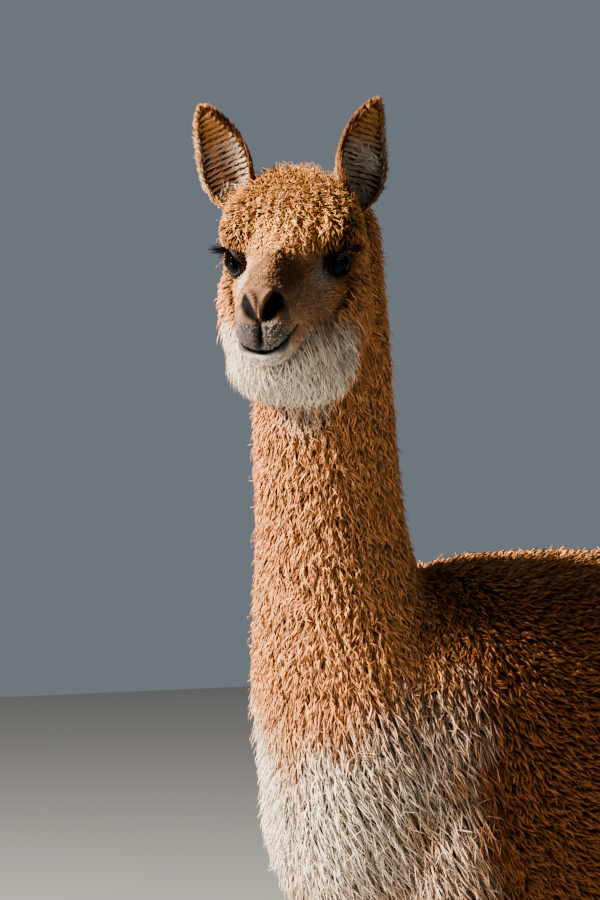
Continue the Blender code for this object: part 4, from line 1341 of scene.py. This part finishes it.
# ---- Ear hair --------------------------------------------------------------------------------------
# Short hair on the backs, pointing to the tip, a darker fringe on the rims, and inside rows of pale
# crimped hair that run across from the outer edge over the dark hollow.
def ear_frame(side_word, share, across, off):
    """Points on an ear with the ways out of it, up it and across it."""
    here = ear_surface(side_word, share, across, off)
    up = ear_surface(side_word, share + 0.02, across, off) - here
    over = ear_surface(side_word, share, across + 0.02, off) - here
    out = here - ear_surface(side_word, share, across, off - 0.001)
    return here, unit(out), unit(up), unit(over)


for word, (side, _, _) in EARS.items():
    draw = np.random.default_rng(91 + side)
    count = 1600
    share, across = draw.uniform(0, 0.98, count), np.sin(draw.uniform(-1.57, 1.57, count))
    points, out, up, over = ear_frame(word, share, across, np.full(count, 0.4 * EAR_WALL))
    lie = laid_along(up + 0.22 * draw.normal(size=(count, 1)) * over, out)
    inner_edge = smooth_step((-across - 0.62) / 0.3)[:, None]
    colour = (COLOURS["gold"] * (1 - inner_edge) + inner_edge * COLOURS["rust"] * 0.7) * 0.7
    colour = colour * draw.uniform(0.75, 1.2, count)[:, None]
    length = np.interp(share, [0, 0.6, 1], [0.015, 0.011, 0.008]) * draw.uniform(0.8, 1.2, count)
    rise = draw.uniform(0.001, 0.0028, count)
    place = square_place(0.5 + 0.24 * across, share)
    waves = {"rings": 2, "wave": 0.0005, "seed": 93 + side}
    locks("ear_back_hair_" + word, points, out, lie, length, rise, 0.0016, colour, place, **waves)

    count = 880
    share = draw.uniform(0.0, 1.0, count)
    rim = np.where(draw.random(count) < 0.6, 1.0, -1.0)  # 1 on the outer rim, -1 on the inner
    across, off = rim * draw.uniform(0.84, 1.0, count), draw.uniform(-0.5, 0.5, count) * EAR_WALL
    points, out, up, over = ear_frame(word, share, across, off)
    stand = np.where(rim > 0, draw.uniform(0.05, 0.9, count), draw.uniform(0.0, 0.55, count))[:, None]
    lie = unit(up + stand * over * rim[:, None] + 0.16 * draw.normal(size=(count, 3)))
    pale = (draw.random(count) < np.where((rim > 0) & (share < 0.75), 0.40, 0.0))[:, None]
    warm = np.where(rim[:, None] > 0, COLOURS["gold"] * 0.6, COLOURS["rust"] * 0.55)
    colour = np.where(pale, COLOURS["cream"] * 0.85, warm) * draw.uniform(0.7, 1.2, count)[:, None]
    out = laid_along(out, lie)
    length = draw.uniform(0.006, 0.012, count)
    place = square_place(0.5 + 0.3 * rim, share)
    waves = {"wave": 0.0006, "seed": 95 + side}
    locks("ear_fringe_" + word, points, out, lie, length, 0.0008, 0.0009, colour, place, **waves)

    rows, each_row = 17, 56
    row = np.repeat(np.arange(rows), each_row)
    count = len(row)
    start = draw.uniform(-0.35, 0.98, count)
    share = 0.06 + 0.84 * (row + 0.11 * draw.normal(size=count)) / (rows - 1)
    inner_wall = np.full(count, -0.5 * EAR_WALL)
    points, out, up, over = ear_frame(word, np.clip(share, 0.01, 0.97), start, inner_wall)
    rows_rise = np.interp(share, [0, 0.5, 1], [0.10, 0.25, 0.8])[:, None]
    lie = laid_along((rows_rise + 0.06 * draw.normal(size=(count, 1))) * up - over, out)
    high = smooth_step((share - 0.50) / 0.2)[:, None]
    colour = COLOURS["cream"] * (0.95, 0.82, 0.72) * (1 - high) + high * COLOURS["gold"] * 0.8
    colour = colour * (0.75 + 0.4 * draw.random(count) - 0.22 * (start < 0))[:, None]
    length = np.interp(share, [0, 0.4, 1], [0.021, 0.019, 0.009]) * draw.uniform(0.8, 1.15, count)
    rise = draw.uniform(0.002, 0.0045, count)
    place = square_place(0.5 + 0.4 * start, share)
    waves = {"rings": 5, "wave": 0.0009, "swings": 1.5, "seed": 97 + side}
    locks("ear_inner_hair_" + word, points, -out, lie, length, rise, 0.0012, colour, place, **waves)

    low_count, high_count = 130, 60  # tufts at the root, and half way up: on the left ear only
    count = low_count + high_count
    share = np.concatenate([draw.uniform(-0.02, 0.13, low_count), draw.uniform(0.34, 0.50, high_count)])
    start = np.concatenate([draw.uniform(-0.9, 0.9, low_count), draw.uniform(0.55, 0.95, high_count)])
    share = np.where((share > 0.2) & (side < 0), share - 0.34, share)
    points, out, up, over = ear_frame(word, share, start, np.full(count, -0.5 * EAR_WALL))
    way = 0.5 * up - np.sign(start)[:, None] * over + 0.35 * draw.normal(size=(count, 3))
    lie = laid_along(way, out)
    colour = COLOURS["cream"] * np.where(share < 0.2, 0.72, 1.0)[:, None]
    colour = colour * draw.uniform(0.75, 1.1, count)[:, None]
    length = draw.uniform(0.014, 0.024, count)
    rise = draw.uniform(0.004, 0.010, count)
    place = square_place(0.5 + 0.4 * start, share)
    waves = {"rings": 5, "wave": 0.0022, "swings": 1.3, "seed": 99 + side}
    locks("ear_tuft_" + word, points, -out, lie, length, rise, 0.0018, colour, place, **waves)


# ---- Stray hairs -----------------------------------------------------------------------------------
# Thin single wisps that stand off the fleece all over and catch the light along its edge.
wispy = (mid_z > 0.30) & ~is_face
apart = np.where(is_chest | is_neck, 0.0165, 0.0240)
points, normals, count, draw = sown(outer_form, wispy, apart[wispy], 101)
lie = spun(lie_of_coat(points, normals), normals, 0.7 * draw.normal(size=count))
colour = coat_colour(points) * draw.uniform(0.95, 1.35, count)[:, None]
depth = coat_depth(points)
on_bib = smooth_step((0.74 - points[:, 2]) / 0.05) * (points[:, 1] < -0.2)
length = draw.uniform(0.010, 0.019, count) * (1 + 0.8 * on_bib)
rise = 0.6 * depth + draw.uniform(0.001, 0.006, count)
roots, place = points - normals * depth[:, None] * 0.6, trunk_wrap(points)
waves = {"wave": 0.002, "swings": 0.5, "seed": 103}
locks("stray_hair", roots, normals, lie, length, rise, 0.0008, colour, place, **waves)


# ---- Nails -----------------------------------------------------------------------------------------
# Two curved horny nails on each foot, dark horn with paler scuffs and fine lines of growth in their relief.
NAIL_HEIGHT, NAIL_DROP = 0.016, 0.011
blank, fill = material_of("nail_horn", specular_ior_level=0.5)
growth = blank.noise(0.0011, detail=3, stretch=(1, 5, 1))
scuff = blank.noise(0.0045, detail=4)
tints = {0: 0.05 + 0.10 * scuff, 1: 0.038 + 0.080 * scuff, 2: 0.030 + 0.062 * scuff}
horn = blank.node("CombineColor", {}, tints)
relief = growth + 0.5 * scuff
nail_horn = fill(base_color=horn, roughness=0.32 + 0.35 * scuff, normal=relief.bump(0.5, 0.0006))
for node in [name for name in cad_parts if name.startswith("nail_")]:
    low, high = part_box(node)
    share, turn = rounds(np.linspace(0, 1, 26), 28)
    half_width = 0.5 * (high.x - low.x) * np.sqrt(1 - 0.93 * share**2)
    half_height = 0.5 * NAIL_HEIGHT * (1 - 0.72 * share**1.5)
    ridge = 1 + 0.012 * np.cos(7 * turn)
    across = half_width * np.sign(np.cos(turn)) * np.abs(np.cos(turn)) ** 0.9 * ridge
    upright = half_height * np.sign(np.sin(turn)) * np.abs(np.sin(turn)) ** 0.9
    along = high.y + (low.y - high.y) * share
    height = high.z - 0.5 * NAIL_HEIGHT - NAIL_DROP * share
    rings = np.stack([0.5 * (low.x + high.x) + across, along, height + upright], axis=-1)
    rings[..., 2] = np.maximum(rings[..., 2], low.z)
    nail = mesh_piece("horn_" + node, *closed_grid(rings))
    nail.data.materials.append(nail_horn)
    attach(nail, "root")
    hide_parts(node)
